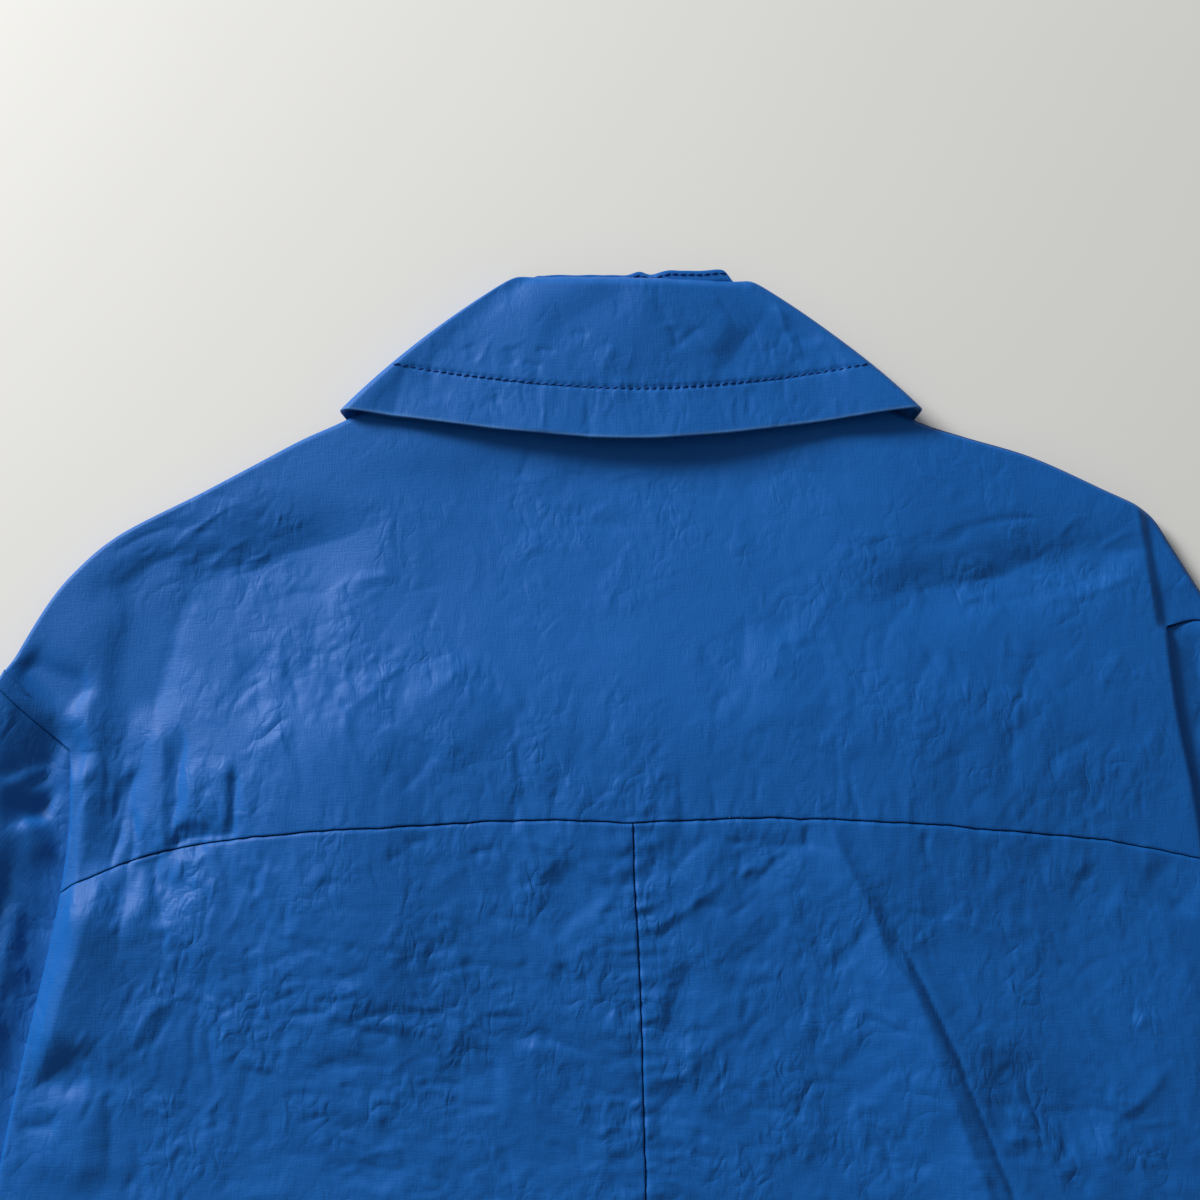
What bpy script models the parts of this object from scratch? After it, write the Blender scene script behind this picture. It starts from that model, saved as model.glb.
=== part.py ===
"""Balmacaan coat laid flat, face down, seen from the back.

+X is the wearer's right, +Y runs to the neck and +Z is up, away from the surface the coat lies on.
The origin is at the middle of the coat's outline, on that surface. Lengths in the tables are
millimetres. Every panel is one wall of cloth: a grid moved onto its outer face, made thick inwards.
The fronts lie on the surface, the sleeves' under halves beside them, and the yoke and backs on top.
"""
import math
from collections import namedtuple

import bmesh
import bpy
from mathutils import Vector

MM = 0.001

# ---- driving dimensions, mm ----
WALL = 1.1              # cloth with its hem and facing plies
GAP = 0.3               # between pieces that touch
SEAM = 0.2              # each side of a butted seam
TOP_Y = 516.0           # top edge of the collar stand at the back
HEM_Y = -516.0          # hem at the centre front and back
HEM_RISE = 8.0          # the hem is this much shorter at the side seams
OVERLAP = 33.0          # each front passes the centre line by this much
BACK_Z = 8.6            # outer face of the back over the fly front
HEM_Z = 4.8             # outer face of the back at the hem
NECK_Z = 6.0            # outer face of the back at the neck seam
SLEEVE_Z = 6.6          # outer face of a sleeve
TUCKED_Z = 5.0          # a sleeve's upper layer where it lies under the body's fold
CUFF_Z = 4.6            # outer face at the cuff
FOLD_Z = 3.4            # height at which front and back meet on a fold
FOLD_R = 3.0            # radius of a fold, in plan
LIP_Z = TUCKED_Z + GAP + 0.05
BACK_SPLIT = 0.55       # the back's border lies this much above FOLD_Z
NECK_SPLIT = 0.55       # and this much more near the neck
FRONT_SPLIT = 1.0       # a front's border lies this much below FOLD_Z
BACK_LOW = 3.6          # least outer height of the back
OVER_SLEEVE_Z = 6.8     # the same where a sleeve's head is tucked under it
SLEEVE_HEAD_X = 205.0   # the tucked heads reach in to here
SLEEVE_HEAD_Y = 20.0    # and down to here
OVER_FLY_Z = 7.7        # the same over the fly's stack
FLY_REACH = 62.0        # which holds the back up this far from the centre line
FLY_REACH_Y = 380.0     # and up to here
WING_LIFT = WALL + GAP  # fronts that lie on the collar's front wings
WING_REACH = 32.0       # the lift is full this far outside a wing
WING_FADE = 60.0        # and gone this far outside
BUTTON_R = 10.0
BUTTON_THICK = 2.0
BUTTON_Z = WALL + GAP
FLY_Z = BUTTON_Z + BUTTON_THICK + GAP
RIGHT_FRONT_Z = FLY_Z + WALL + GAP
BUTTON_TOP_Y = 262.0
BUTTON_PITCH = 105.0
BUTTON_COUNT = 5
COLLAR_EDGE_Y = 436.3   # lower edge of the fall at the centre back
COLLAR_EDGE_RISE = 15.5
COLLAR_EDGE_SPAN = 115.0
ROLL_Y = 513.5
COLLAR_CREST_Z = 14.0
NECK_HALF = 81.0        # side neck point from the centre line
NECK_SIDE_Y = 473.0
NECK_BACK_DROP = 5.0    # the back neck seam dips this much at the centre
NECK_FRONT_Y = 396.0    # front neck at the centre line
NECK_OVERLAP_DROP = 2.0 # and this much lower at the front edge
NECK_CURVE = 2.2        # power that shapes the front neck
DROP = 0.6              # upright strip that ends a folded border
BLUE = (0.027, 0.115, 0.39, 1.0)
NAVY = (0.008, 0.03, 0.12, 1.0)

Point = namedtuple("Point", "x y")
Crease = namedtuple("Crease", "top foot width")
Fold = namedtuple("Fold", "x0 y0 x1 y1 width rise")

# ---- outlines in plan, mm; the wearer's left is at -X ----
SHOULDER = {
    "left": [Point(-NECK_HALF, NECK_SIDE_Y), Point(-104, 461), Point(-130, 447), Point(-150, 437.5),
             Point(-172, 425), Point(-194, 412.5), Point(-228, 394), Point(-247, 377), Point(-260, 359),
             Point(-277, 326)],
    "right": [Point(NECK_HALF, NECK_SIDE_Y), Point(104, 460), Point(130, 446.5), Point(150, 439.5),
              Point(180, 430), Point(211, 415), Point(231, 404), Point(241, 388), Point(251, 370),
              Point(263, 350)],
}
SLEEVE_TOP = {
    "left": [Point(-277, 326), Point(-325, 245), Point(-375, 160), Point(-424, 73), Point(-470, -18),
             Point(-512, -110), Point(-532, -160)],
    "right": [Point(263, 350), Point(315, 262), Point(368, 172), Point(420, 80), Point(466, -15),
              Point(507, -105), Point(532, -160)],
}
SEAM_SHOWN = {          # armhole seam that shows on the back, shoulder to the body's fold
    "left": [Point(-277, 326), Point(-261, 311), Point(-244, 297)],
    "right": [Point(263, 350), Point(250, 355), Point(236, 352)],
}
CREASE = {              # line past which the yoke lies down to the sleeve's level
    "left": Crease(Point(-277, 326), Point(-244, 297), 16.0),
    "right": Crease(Point(231, 404), Point(236, 352), 6.0),
}
LIP = {                 # the body's fold over the sleeve, down to the underarm
    "left": [Point(-244, 297), Point(-242, 266), Point(-244, 236), Point(-248, 208), Point(-254, 174),
             Point(-260, 136), Point(-265, 95), Point(-267, 66)],
    "right": [Point(236, 352), Point(238, 315), Point(243, 276), Point(246, 236), Point(250, 200),
              Point(255, 160), Point(261, 115), Point(266, 66)],
}
TUCK = {                # hidden end of a sleeve's upper layer, under the body's fold
    "left": [Point(-244, 297), Point(-224, 270), Point(-220, 215), Point(-228, 165), Point(-257, 112),
             Point(-271.5, 64)],
    "right": [Point(236, 352), Point(216, 322), Point(215, 255), Point(226, 180), Point(256, 112),
              Point(270.5, 64)],
}
ARMHOLE_FRONT = {
    "left": [Point(-277, 326), Point(-249, 275), Point(-239, 215), Point(-243, 155), Point(-258, 102),
             Point(-269, 64)],
    "right": [Point(263, 350), Point(240, 290), Point(233, 220), Point(240, 155), Point(257, 102),
              Point(268, 64)],
}
SLEEVE_UNDER = {        # inner fold of a sleeve, underarm to cuff
    "left": [Point(-271.5, 64), Point(-293, 10), Point(-322, -72), Point(-358, -150), Point(-393, -216)],
    "right": [Point(270.5, 64), Point(292, 10), Point(321, -72), Point(357, -150), Point(393, -216)],
}
SIDE = {
    "left": [Point(-267, 66), Point(-273, -20), Point(-288, -150), Point(-307, -320), Point(-327, -508)],
    "right": [Point(266, 66), Point(273, -20), Point(288, -150), Point(307, -320), Point(327, -508)],
}
CENTRE_SEAM = [Point(0, 265), Point(1, 233), Point(3, 192), Point(4, 152), Point(5, 112), Point(6, 0),
               Point(4, -200), Point(0, HEM_Y)]
YOKE_SEAM = {           # fold to centre back
    "left": [Point(-244, 236), Point(-231, 242), Point(-203, 253), Point(-160, 259), Point(-100, 263),
             Point(-48, 266), Point(0, 265)],
    "right": [Point(246, 250), Point(205, 258), Point(157, 262), Point(115, 265), Point(55, 267),
              Point(0, 265)],
}

# ---- where the grids have their columns and rows ----
HALF_STEPS = 12         # half the back's width
SHOULDER_STEPS = 8      # of them, those whose tops lie on the shoulder; the rest lie on the neck
YOKE_STEPS = 12         # yoke, seam to shoulder
LIP_STEPS = 8           # of them, those beside the body's fold; the rest lie on the armhole seam
BODY_STEPS = 20         # back, hem to yoke seam
SIDE_STEPS = 12         # front, hem to underarm
SIDE_SHARE = 0.69       # that stretch's share of the front's outer border
FRONT_STEPS = 6         # front, side to side neck point
SLEEVE_STEPS = 15       # sleeve, armhole to cuff
HEAD_SHOWN = 0.17       # share of the sleeve head's upper edge that shows
HEAD_STOPS = (0.085, HEAD_SHOWN, 0.29, 0.41, 0.53, 0.65, 0.77, 0.89)
EDGE_STOPS = (114.0, 99.0, 84.0, 67.0, 49.0, 33.0, 16.0, 0.0)      # distances from a front's edge
NECK_STOPS = (-NECK_HALF, -66.0, -51.0, -34.0, -16.0, 0.0, 17.0, OVERLAP)

# ---- main folds: ends, half width and rise, mm; a trough has a negative rise ----
BACK_FOLDS = [
    Fold(-236, 382, -123, 405, 24, -2.4),
    Fold(-221, 364, -217, 254, 12, -1.8),
    Fold(-236, 335, -234, 245, 9, 1.6),
    Fold(-174, 289, -171, 259, 9, 2.2),
    Fold(-221, 232, -214, 180, 12, -1.9),
    Fold(112, 379, 229, 396, 20, -2.2),
    Fold(95, 262, 118, 226, 10, 2.4),
    Fold(118, 226, 160, 110, 13, 3.2),
    Fold(84, 250, 130, 140, 12, -1.6),
    Fold(52, 350, 64, 300, 16, 1.4),
    Fold(-96, 330, -60, 290, 22, 1.6),
    Fold(-215, 262, -20, 262, 45, 2.6),
    Fold(-95, 410, 95, 410, 24, -1.8),
    Fold(170, 150, 205, -60, 20, 2.0),
    Fold(-120, 120, -165, -120, 22, 2.4),
    Fold(-200, 40, -235, -300, 20, -3.0),
    Fold(60, 20, 95, -330, 22, -1.6),
    Fold(150, -80, 205, -440, 24, 2.6),
    Fold(-60, -60, -100, -400, 20, 2.2),
    Fold(235, 20, 255, -330, 18, -2.6),
    Fold(-170, -200, -250, -400, 16, 2.4),
]
SLEEVE_FOLDS = [
    Fold(-300, 215, -345, 120, 16, 2.2),
    Fold(-330, 40, -420, 20, 14, -1.6),
    Fold(-350, -40, -455, -70, 16, 2.0),
    Fold(-370, -110, -450, -160, 14, -1.3),
    Fold(300, 180, 345, 95, 16, 2.0),
    Fold(330, 60, 410, 20, 15, 1.8),
    Fold(345, -50, 455, -40, 14, -1.5),
    Fold(380, -120, 480, -110, 16, 1.8),
]


# ---- curves in plan ----
def smooth(value):
    value = min(1.0, max(0.0, value))
    return value * value * (3.0 - 2.0 * value)


def through(points, steps=10):
    """Points of a smooth curve that passes through the given ones."""
    pts = [Vector((p.x, p.y)) for p in points]
    ends = [pts[0] * 2 - pts[1]] + pts + [pts[-1] * 2 - pts[-2]]
    out = []
    for i in range(1, len(ends) - 2):
        p0, p1, p2, p3 = ends[i - 1:i + 3]
        for k in range(steps):
            t = k / steps
            out.append(0.5 * (2 * p1 + (p2 - p0) * t + (2 * p0 - 5 * p1 + 4 * p2 - p3) * t * t
                              + (3 * p1 - p0 - 3 * p2 + p3) * t ** 3))
    out.append(pts[-1])
    return out


def segment_distance(p, a, b):
    ab = b - a
    t = min(1.0, max(0.0, (p - a).dot(ab) / ab.length_squared))
    return (p - a - t * ab).length


class Curve:
    """A plan curve read by its share of arc length, moved sideways by shift (to its left if positive)."""

    def __init__(self, *runs, shift=0.0):
        self.pts = []
        for run in runs:
            self.pts += run if not self.pts else run[1:]
        if shift:
            self.pts = [p + shift * self.normal(i) for i, p in enumerate(self.pts)]
        self.at_length = [0.0]
        for a, b in zip(self.pts, self.pts[1:]):
            self.at_length.append(self.at_length[-1] + (b - a).length)
        self.length = self.at_length[-1]

    def normal(self, i):
        along = self.pts[min(i + 1, len(self.pts) - 1)] - self.pts[max(i - 1, 0)]
        return Vector((-along.y, along.x)).normalized()

    def at(self, share):
        wanted = min(1.0, max(0.0, share)) * self.length
        for i in range(len(self.pts) - 1):
            if wanted <= self.at_length[i + 1] or i == len(self.pts) - 2:
                step = self.at_length[i + 1] - self.at_length[i]
                return self.pts[i].lerp(self.pts[i + 1], (wanted - self.at_length[i]) / step)

    def distance(self, p):
        return min(segment_distance(p, a, b) for a, b in zip(self.pts, self.pts[1:]))


class Joined:
    """Two curves read as one, the first up to the share where they join."""

    def __init__(self, first, second, join):
        self.first = first
        self.second = second
        self.join = join

    def at(self, share):
        if share <= self.join:
            return self.first.at(share / self.join)
        return self.second.at((share - self.join) / (1 - self.join))


class Stops:
    """A border given at some shares, straight between them."""

    def __init__(self, shares, points):
        self.shares = shares
        self.points = points

    def at(self, share):
        for k in range(len(self.shares) - 1):
            low, high = self.shares[k], self.shares[k + 1]
            if share <= high or k == len(self.shares) - 2:
                return self.points[k].lerp(self.points[k + 1], (share - low) / (high - low))


def coons(low, high, start, end, u, v):
    """Point of the patch between four border curves; low and high run with u, start and end with v."""
    corners = (low.at(0) * (1 - u) * (1 - v) + low.at(1) * u * (1 - v)
               + high.at(0) * (1 - u) * v + high.at(1) * u * v)
    return low.at(u) * (1 - v) + high.at(u) * v + start.at(v) * (1 - u) + end.at(v) * u - corners


def near_fold(length):
    """Shares of a length at which a fold's quarter round is sampled."""
    return [FOLD_R * (1 - math.cos(math.radians(a))) / length for a in (0, 30, 60, 90)]


def round_up(distance, radius=FOLD_R):
    """Height share of a quarter round at this distance from its fold."""
    if distance >= radius:
        return 1.0
    return math.sqrt(max(0.0, 1.0 - (1.0 - distance / radius) ** 2))


def fold_rise(p, table):
    total = 0.0
    for f in table:
        away = segment_distance(p, Vector((f.x0, f.y0)), Vector((f.x1, f.y1)))
        total += f.rise * math.exp(-(away / f.width) ** 2)
    return total


SIDES = ("left", "right")
OUTER = {s: Curve(through(SHOULDER[s]), through(SLEEVE_TOP[s])) for s in SIDES}
SHOULDER_LINE = {s: Curve(list(reversed(through(SHOULDER[s])))) for s in SIDES}
LIP_LINE = {s: Curve(through(LIP[s])) for s in SIDES}
SIDE_LINE = {s: Curve(through(SIDE[s])) for s in SIDES}
UNDER_LINE = {s: Curve(through(SLEEVE_UNDER[s])) for s in SIDES}


def side_of(p):
    return "left" if p.x < 0 else "right"


def turned(side):
    """+1 on the left, -1 on the right: the left-hand side of a curve lies the other way there."""
    return 1 if side == "left" else -1


def lip_x(side, y):
    """The body's fold over the sleeve at this height."""
    pts = LIP_LINE[side].pts
    for a, b in zip(pts, pts[1:]):
        if b.y <= y <= a.y:
            return a.x + (b.x - a.x) * (a.y - y) / (a.y - b.y)
    return pts[0].x if y > pts[0].y else pts[-1].x


def cuff_line(side):
    return Vector(SLEEVE_TOP[side][-1]), Vector(SLEEVE_UNDER[side][-1])


def neck_back(x, shift=0.0):
    """Back neck seam, moved towards the neck opening by shift."""
    return Vector((x, NECK_SIDE_Y - NECK_BACK_DROP * (1 - (x / NECK_HALF) ** 2) + shift))


def neck_front(x, shift=0.0):
    """Front neck seam of the left half and its overlap, moved towards the neck opening by shift."""
    height = NECK_SIDE_Y - NECK_FRONT_Y
    if x < 0:
        y = NECK_FRONT_Y + height * (-x / NECK_HALF) ** NECK_CURVE
        slope = -height * NECK_CURVE * (-x / NECK_HALF) ** (NECK_CURVE - 1) / NECK_HALF
    else:
        y = NECK_FRONT_Y - NECK_OVERLAP_DROP * x / OVERLAP
        slope = -NECK_OVERLAP_DROP / OVERLAP
    return Vector((x, y)) + Vector((-slope, 1.0)).normalized() * shift


# ---- collar outlines in plan ----
WING_ROLL_END = Vector((-5.0, 419.0))     # front end of the roll
WING_POINT = Vector((-58.0, 372.0))       # the collar's point
FALL_FOLD_TOP = Vector((-56.0, 514.0))    # where the roll turns to the front
FALL_FOLD_LOW = Vector((-131.5, 451.5))   # where the fall's edge turns to the front
FALL_FOLD_BULGE = 3.2
WING_SIDES = 6                            # straight runs that stand for the bulged fold


def edge_y(x):
    """Lower edge of the collar's fall across the back."""
    return COLLAR_EDGE_Y + COLLAR_EDGE_RISE * (abs(x) / COLLAR_EDGE_SPAN) ** 1.8


def fall_fold(v):
    """Fold of the fall between back and front, from the roll at v = 0 to its edge at v = 1."""
    across = FALL_FOLD_LOW - FALL_FOLD_TOP
    outward = Vector((across.y, -across.x)).normalized()
    return FALL_FOLD_TOP + across * v + outward * FALL_FOLD_BULGE * 4 * v * (1 - v)


def wing_front(v):
    """Front end of the fall, from the roll to the collar's point."""
    return WING_ROLL_END.lerp(WING_POINT, v)


WING = Curve([WING_ROLL_END, WING_POINT] + [fall_fold(1 - k / WING_SIDES) for k in range(WING_SIDES + 1)]
             + [WING_ROLL_END])


def inside_wing(p):
    """True within the left wing's outline, by counting the edges to one side."""
    crossings = 0
    for a, b in zip(WING.pts, WING.pts[1:]):
        if (a.y > p.y) != (b.y > p.y):
            if a.x + (p.y - a.y) / (b.y - a.y) * (b.x - a.x) > p.x:
                crossings += 1
    return crossings % 2 == 1


def wing_lift(p):
    """How far a front is lifted by the collar's wings under it."""
    left = Vector((-abs(p.x), p.y))
    if inside_wing(left):
        return WING_LIFT
    return WING_LIFT * (1 - smooth((WING.distance(left) - WING_REACH) / (WING_FADE - WING_REACH)))


# ---- heights of the outer faces ----
LIP_CLEAR = 5.0         # a sleeve stays low this near the body's fold
LIP_BLEND = 24.0        # and is full this much further out
CUFF_BLEND = 70.0
FLY_BLEND = 40.0        # beside the fly the back comes down over this width
FLY_DROP = 5.2          # by this much
FLY_TOP_BLEND = 60.0    # and above it over this height
FLY_TOP_DROP = 3.2
HEAD_BLEND = 30.0
NECK_BLEND_Y = 405.0    # from here up the back comes down to the neck
NECK_BLEND = 60.0
HEM_BLEND = 90.0        # it comes down to the hem over this height
HEM_OVER_FLY = 0.3      # share of that drop which the fly holds up
HEM_FLY_HALF = 80.0
HEM_FLY_BLEND = 50.0
FOOT_BLEND = 16.0       # the yoke rises onto the body's fold over this distance
STACK_HALF = 50.0       # the right front lies on the fly this far from the centre line
STACK_BLEND = 28.0
STACK_TOP_Y = 335.0     # up to here
STACK_TOP_BLEND = 40.0
STACK_LOW_Y = -385.0    # and down to here
STACK_LOW_BLEND = 50.0
SIDE_BLEND = 20.0       # a front's side turns up below the underarm over this height


def sleeve_height(p):
    """A sleeve's upper layer: low under the body's fold, fuller outside it, low again at the cuff."""
    side = side_of(p)
    lip = LIP_LINE[side]
    if lip.pts[-1].y < p.y < lip.pts[0].y and abs(p.x) < abs(lip_x(side, p.y)):
        return TUCKED_Z
    away = lip.distance(p)
    height = TUCKED_Z + (SLEEVE_Z - TUCKED_Z) * smooth((away - LIP_CLEAR) / LIP_BLEND)
    height += fold_rise(p, SLEEVE_FOLDS) * smooth((away - LIP_CLEAR - FOLD_R) / LIP_BLEND)
    return CUFF_Z + (height - CUFF_Z) * smooth(segment_distance(p, *cuff_line(side)) / CUFF_BLEND)


def back_floor(p):
    """Lowest outer height of the back that clears what lies under it."""
    over_fly = OVER_FLY_Z - FLY_DROP * smooth((abs(p.x) - FLY_REACH) / FLY_BLEND)
    over_fly -= FLY_TOP_DROP * smooth((p.y - FLY_REACH_Y) / FLY_TOP_BLEND)
    over_sleeve = BACK_LOW
    if p.y > SLEEVE_HEAD_Y:
        clear_of_head = smooth((SLEEVE_HEAD_X - abs(p.x)) / HEAD_BLEND)
        over_sleeve = OVER_SLEEVE_Z - (OVER_SLEEVE_Z - BACK_LOW) * clear_of_head
    return max(BACK_LOW, over_fly, over_sleeve)


def body_height(p):
    """The back before it turns down at its folds."""
    height = BACK_Z + fold_rise(p, BACK_FOLDS)
    height += (NECK_Z - BACK_Z) * smooth((p.y - NECK_BLEND_Y) / NECK_BLEND)
    from_hem = smooth((p.y - HEM_Y) / HEM_BLEND)
    over_fly = (BACK_Z - HEM_Z) * HEM_OVER_FLY * smooth((HEM_FLY_HALF - abs(p.x)) / HEM_FLY_BLEND)
    height = HEM_Z + over_fly + (height - HEM_Z - over_fly) * from_hem
    if p.y > HEM_Y + HEM_BLEND + 10:
        height = max(height, back_floor(p))
    crease = CREASE[side_of(p)]
    top, foot = Vector(crease.top), Vector(crease.foot)
    if p.x < 0:
        inward = segment_distance(p, top, foot)
        share = 1 - smooth(inward / crease.width)
    else:
        inward = foot.x + (top.x - foot.x) * (p.y - foot.y) / (top.y - foot.y) - p.x
        share = (1 - smooth(inward / crease.width)) * smooth((p.y - foot.y + 4) / 6)
    lift = (LIP_Z + WALL + 0.1 - TUCKED_Z) * (1 - smooth((p - foot).length / FOOT_BLEND))
    return height + (sleeve_height(p) + lift - height) * share


def beside_lip(p):
    """True on the rows that end at the body's fold, false on those that end at the armhole seam."""
    return p.y < LIP[side_of(p)][0].y - 0.5


def back_height(p):
    side = side_of(p)
    split_z = FOLD_Z + BACK_SPLIT + NECK_SPLIT * (1 - smooth((abs(p.x) - 110) / 60))
    height = split_z + (body_height(p) - split_z) * round_up(OUTER[side].distance(p))
    if not beside_lip(p):
        return height
    over_sleeve = smooth((p.y - LIP[side][-1].y + 24) / 20)
    border_z = split_z + (LIP_Z + DROP - split_z) * over_sleeve
    fold = min(LIP_LINE[side].distance(p), SIDE_LINE[side].distance(p))
    return border_z + (height - border_z) * round_up(fold)


def front_height(p, side):
    """Outer face of a front, which faces down."""
    base = wing_lift(p)
    if side == "right":
        over_left = WALL + GAP + 0.1
        above_fly = smooth((p.y - STACK_TOP_Y) / STACK_TOP_BLEND)
        stack = RIGHT_FRONT_Z + (WING_LIFT + over_left - RIGHT_FRONT_Z) * above_fly
        stack += (over_left - stack) * smooth((STACK_LOW_Y - p.y) / STACK_LOW_BLEND)
        base = max(base, stack * (1 - smooth((p.x - STACK_HALF) / STACK_BLEND)))
    curl = round_up(OUTER[side].distance(p))
    seam_foot = ARMHOLE_FRONT[side][-1].y
    if p.y < seam_foot:
        side_curl = 1 - round_up(SIDE_LINE[side].distance(p))
        curl = min(curl, 1 - side_curl * smooth((seam_foot - p.y) / SIDE_BLEND))
    split_z = FOLD_Z - FRONT_SPLIT
    return split_z + (base - split_z) * curl


# ---- making the panels ----
def material(name, colour, roughness):
    made = bpy.data.materials.get(name) or bpy.data.materials.new(name)
    made.use_nodes = True
    shader = made.node_tree.nodes["Principled BSDF"]
    shader.inputs["Base Color"].default_value = colour
    shader.inputs["Roughness"].default_value = roughness
    shader.inputs["Metallic"].default_value = 0.0
    return made


def add_mesh(name, bm, look, wall=None):
    mesh = bpy.data.meshes.new(name)
    bm.to_mesh(mesh)
    bm.free()
    mesh.shade_smooth()
    obj = bpy.data.objects.new(name, mesh)
    collection.objects.link(obj)
    mesh.materials.append(look)
    if wall:
        shell = obj.modifiers.new("wall", "SOLIDIFY")
        shell.thickness = wall * MM
        shell.offset = -1.0
    return obj


def cloth_grid(name, columns, rows, place, look, face_down=False):
    """A grid whose vertex in column i and row j goes to place(i, j), with the cloth behind it."""
    bm = bmesh.new()
    bmesh.ops.create_grid(bm, x_segments=columns - 1, y_segments=rows - 1, size=0.5)
    for vert in bm.verts:
        i = round((vert.co.x + 0.5) * (columns - 1))
        j = round((vert.co.y + 0.5) * (rows - 1))
        vert.co = Vector(place(i, j)) * MM
    if face_down:
        bmesh.ops.reverse_faces(bm, faces=bm.faces)
    return add_mesh(name, bm, look, WALL)


def half_shares():
    """Shares of half the back's width, from the side fold to the centre."""
    near = near_fold(LIP_LINE["left"].pts[0].length)
    return near + [k / HALF_STEPS for k in range(1, HALF_STEPS + 1)]


def half_top(side, share):
    """The yoke's upper border over one half: the shoulder, then the neck."""
    on_shoulder = SHOULDER_STEPS / HALF_STEPS
    if share <= on_shoulder:
        return SHOULDER_LINE[side].at(share / on_shoulder)
    inward = (share - on_shoulder) / (1 - on_shoulder)
    x = -turned(side) * NECK_HALF * (1 - inward)
    return neck_back(x, -SEAM - DROP)


def body_fold(side, upper):
    """The body's fold above or below the yoke seam, top first."""
    seam_y = YOKE_SEAM[side][0].y
    pts = LIP_LINE[side].pts
    if upper:
        return [p for p in pts if p.y > seam_y + 1] + [Vector((lip_x(side, seam_y + SEAM), seam_y + SEAM))]
    return [Vector((lip_x(side, seam_y - SEAM), seam_y - SEAM))] + [p for p in pts if p.y < seam_y - 1]


def make_yoke(look):
    shares = half_shares()
    us = [s / 2 for s in shares] + [1 - s / 2 for s in reversed(shares[:-1])]
    vs = [k / YOKE_STEPS for k in range(YOKE_STEPS)] + [1 - s for s in reversed(near_fold(190.0))]
    seams = {s: Curve(through(YOKE_SEAM[s]), shift=SEAM * turned(s)) for s in SIDES}
    low_points = [seams["left"].at(s) for s in shares] + [seams["right"].at(s) for s in reversed(shares[:-1])]
    top_points = [half_top("left", s) for s in shares] + [half_top("right", s) for s in reversed(shares[:-1])]
    borders = {}
    for side in SIDES:
        fold = Curve(list(reversed(body_fold(side, True))))
        seam = Curve(list(reversed(through(SEAM_SHOWN[side]))), shift=-SEAM * turned(side))
        borders[side] = Joined(fold, seam, LIP_STEPS / YOKE_STEPS)
    low = Stops(us, low_points)
    high = Stops(us, top_points)
    last = len(us) + 1

    def place(i, j):
        k = min(max(i - 1, 0), len(us) - 1)
        v = vs[min(j, len(vs) - 1)]
        p = coons(low, high, borders["left"], borders["right"], us[k], v)
        drop = Vector((0.0, 0.0, 0.0))
        if beside_lip(p) and i in (0, last):
            drop.z = -DROP
        elif i in (1, last - 1) and not beside_lip(p):
            u = us[2] * 0.15 if i == 1 else 1 - us[2] * 0.15
            p = coons(low, high, borders["left"], borders["right"], u, v)
        if j == len(vs):
            folded = smooth((abs(p.x) - NECK_HALF + 6) / 12)
            drop.z -= DROP * folded
            drop.y += DROP * (1 - folded)
        return Vector((p.x, p.y, back_height(p))) + drop

    return cloth_grid("yoke", len(us) + 2, len(vs) + 1, place, look)


def make_back(side, look):
    """Half the back below the yoke; columns run from the side fold to the centre seam."""
    sign = turned(side)
    shares = half_shares()
    vs = [k / BODY_STEPS for k in range(BODY_STEPS + 1)]
    seam = Curve(through(YOKE_SEAM[side]), shift=-SEAM * sign)
    outline = Curve(list(reversed(body_fold(side, False) + SIDE_LINE[side].pts[1:])))
    corner = SIDE_LINE[side].pts[-1]
    hem = Curve([Vector((corner.x * (1 - k / 8), HEM_Y + HEM_RISE * (1 - k / 8) ** 2)) for k in range(9)])
    middle = list(reversed(through(CENTRE_SEAM)))
    middle[-1] = Vector((middle[-1].x, seam.pts[-1].y))
    centre = Curve(middle, shift=SEAM * sign)

    def place(i, j):
        p = coons(hem, seam, outline, centre, shares[max(i - 1, 0)], vs[j])
        return Vector((p.x, p.y, back_height(p) - (DROP if i == 0 else 0.0)))

    return cloth_grid("back_" + side, len(shares) + 1, len(vs), place, look, face_down=(side == "right"))


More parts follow.
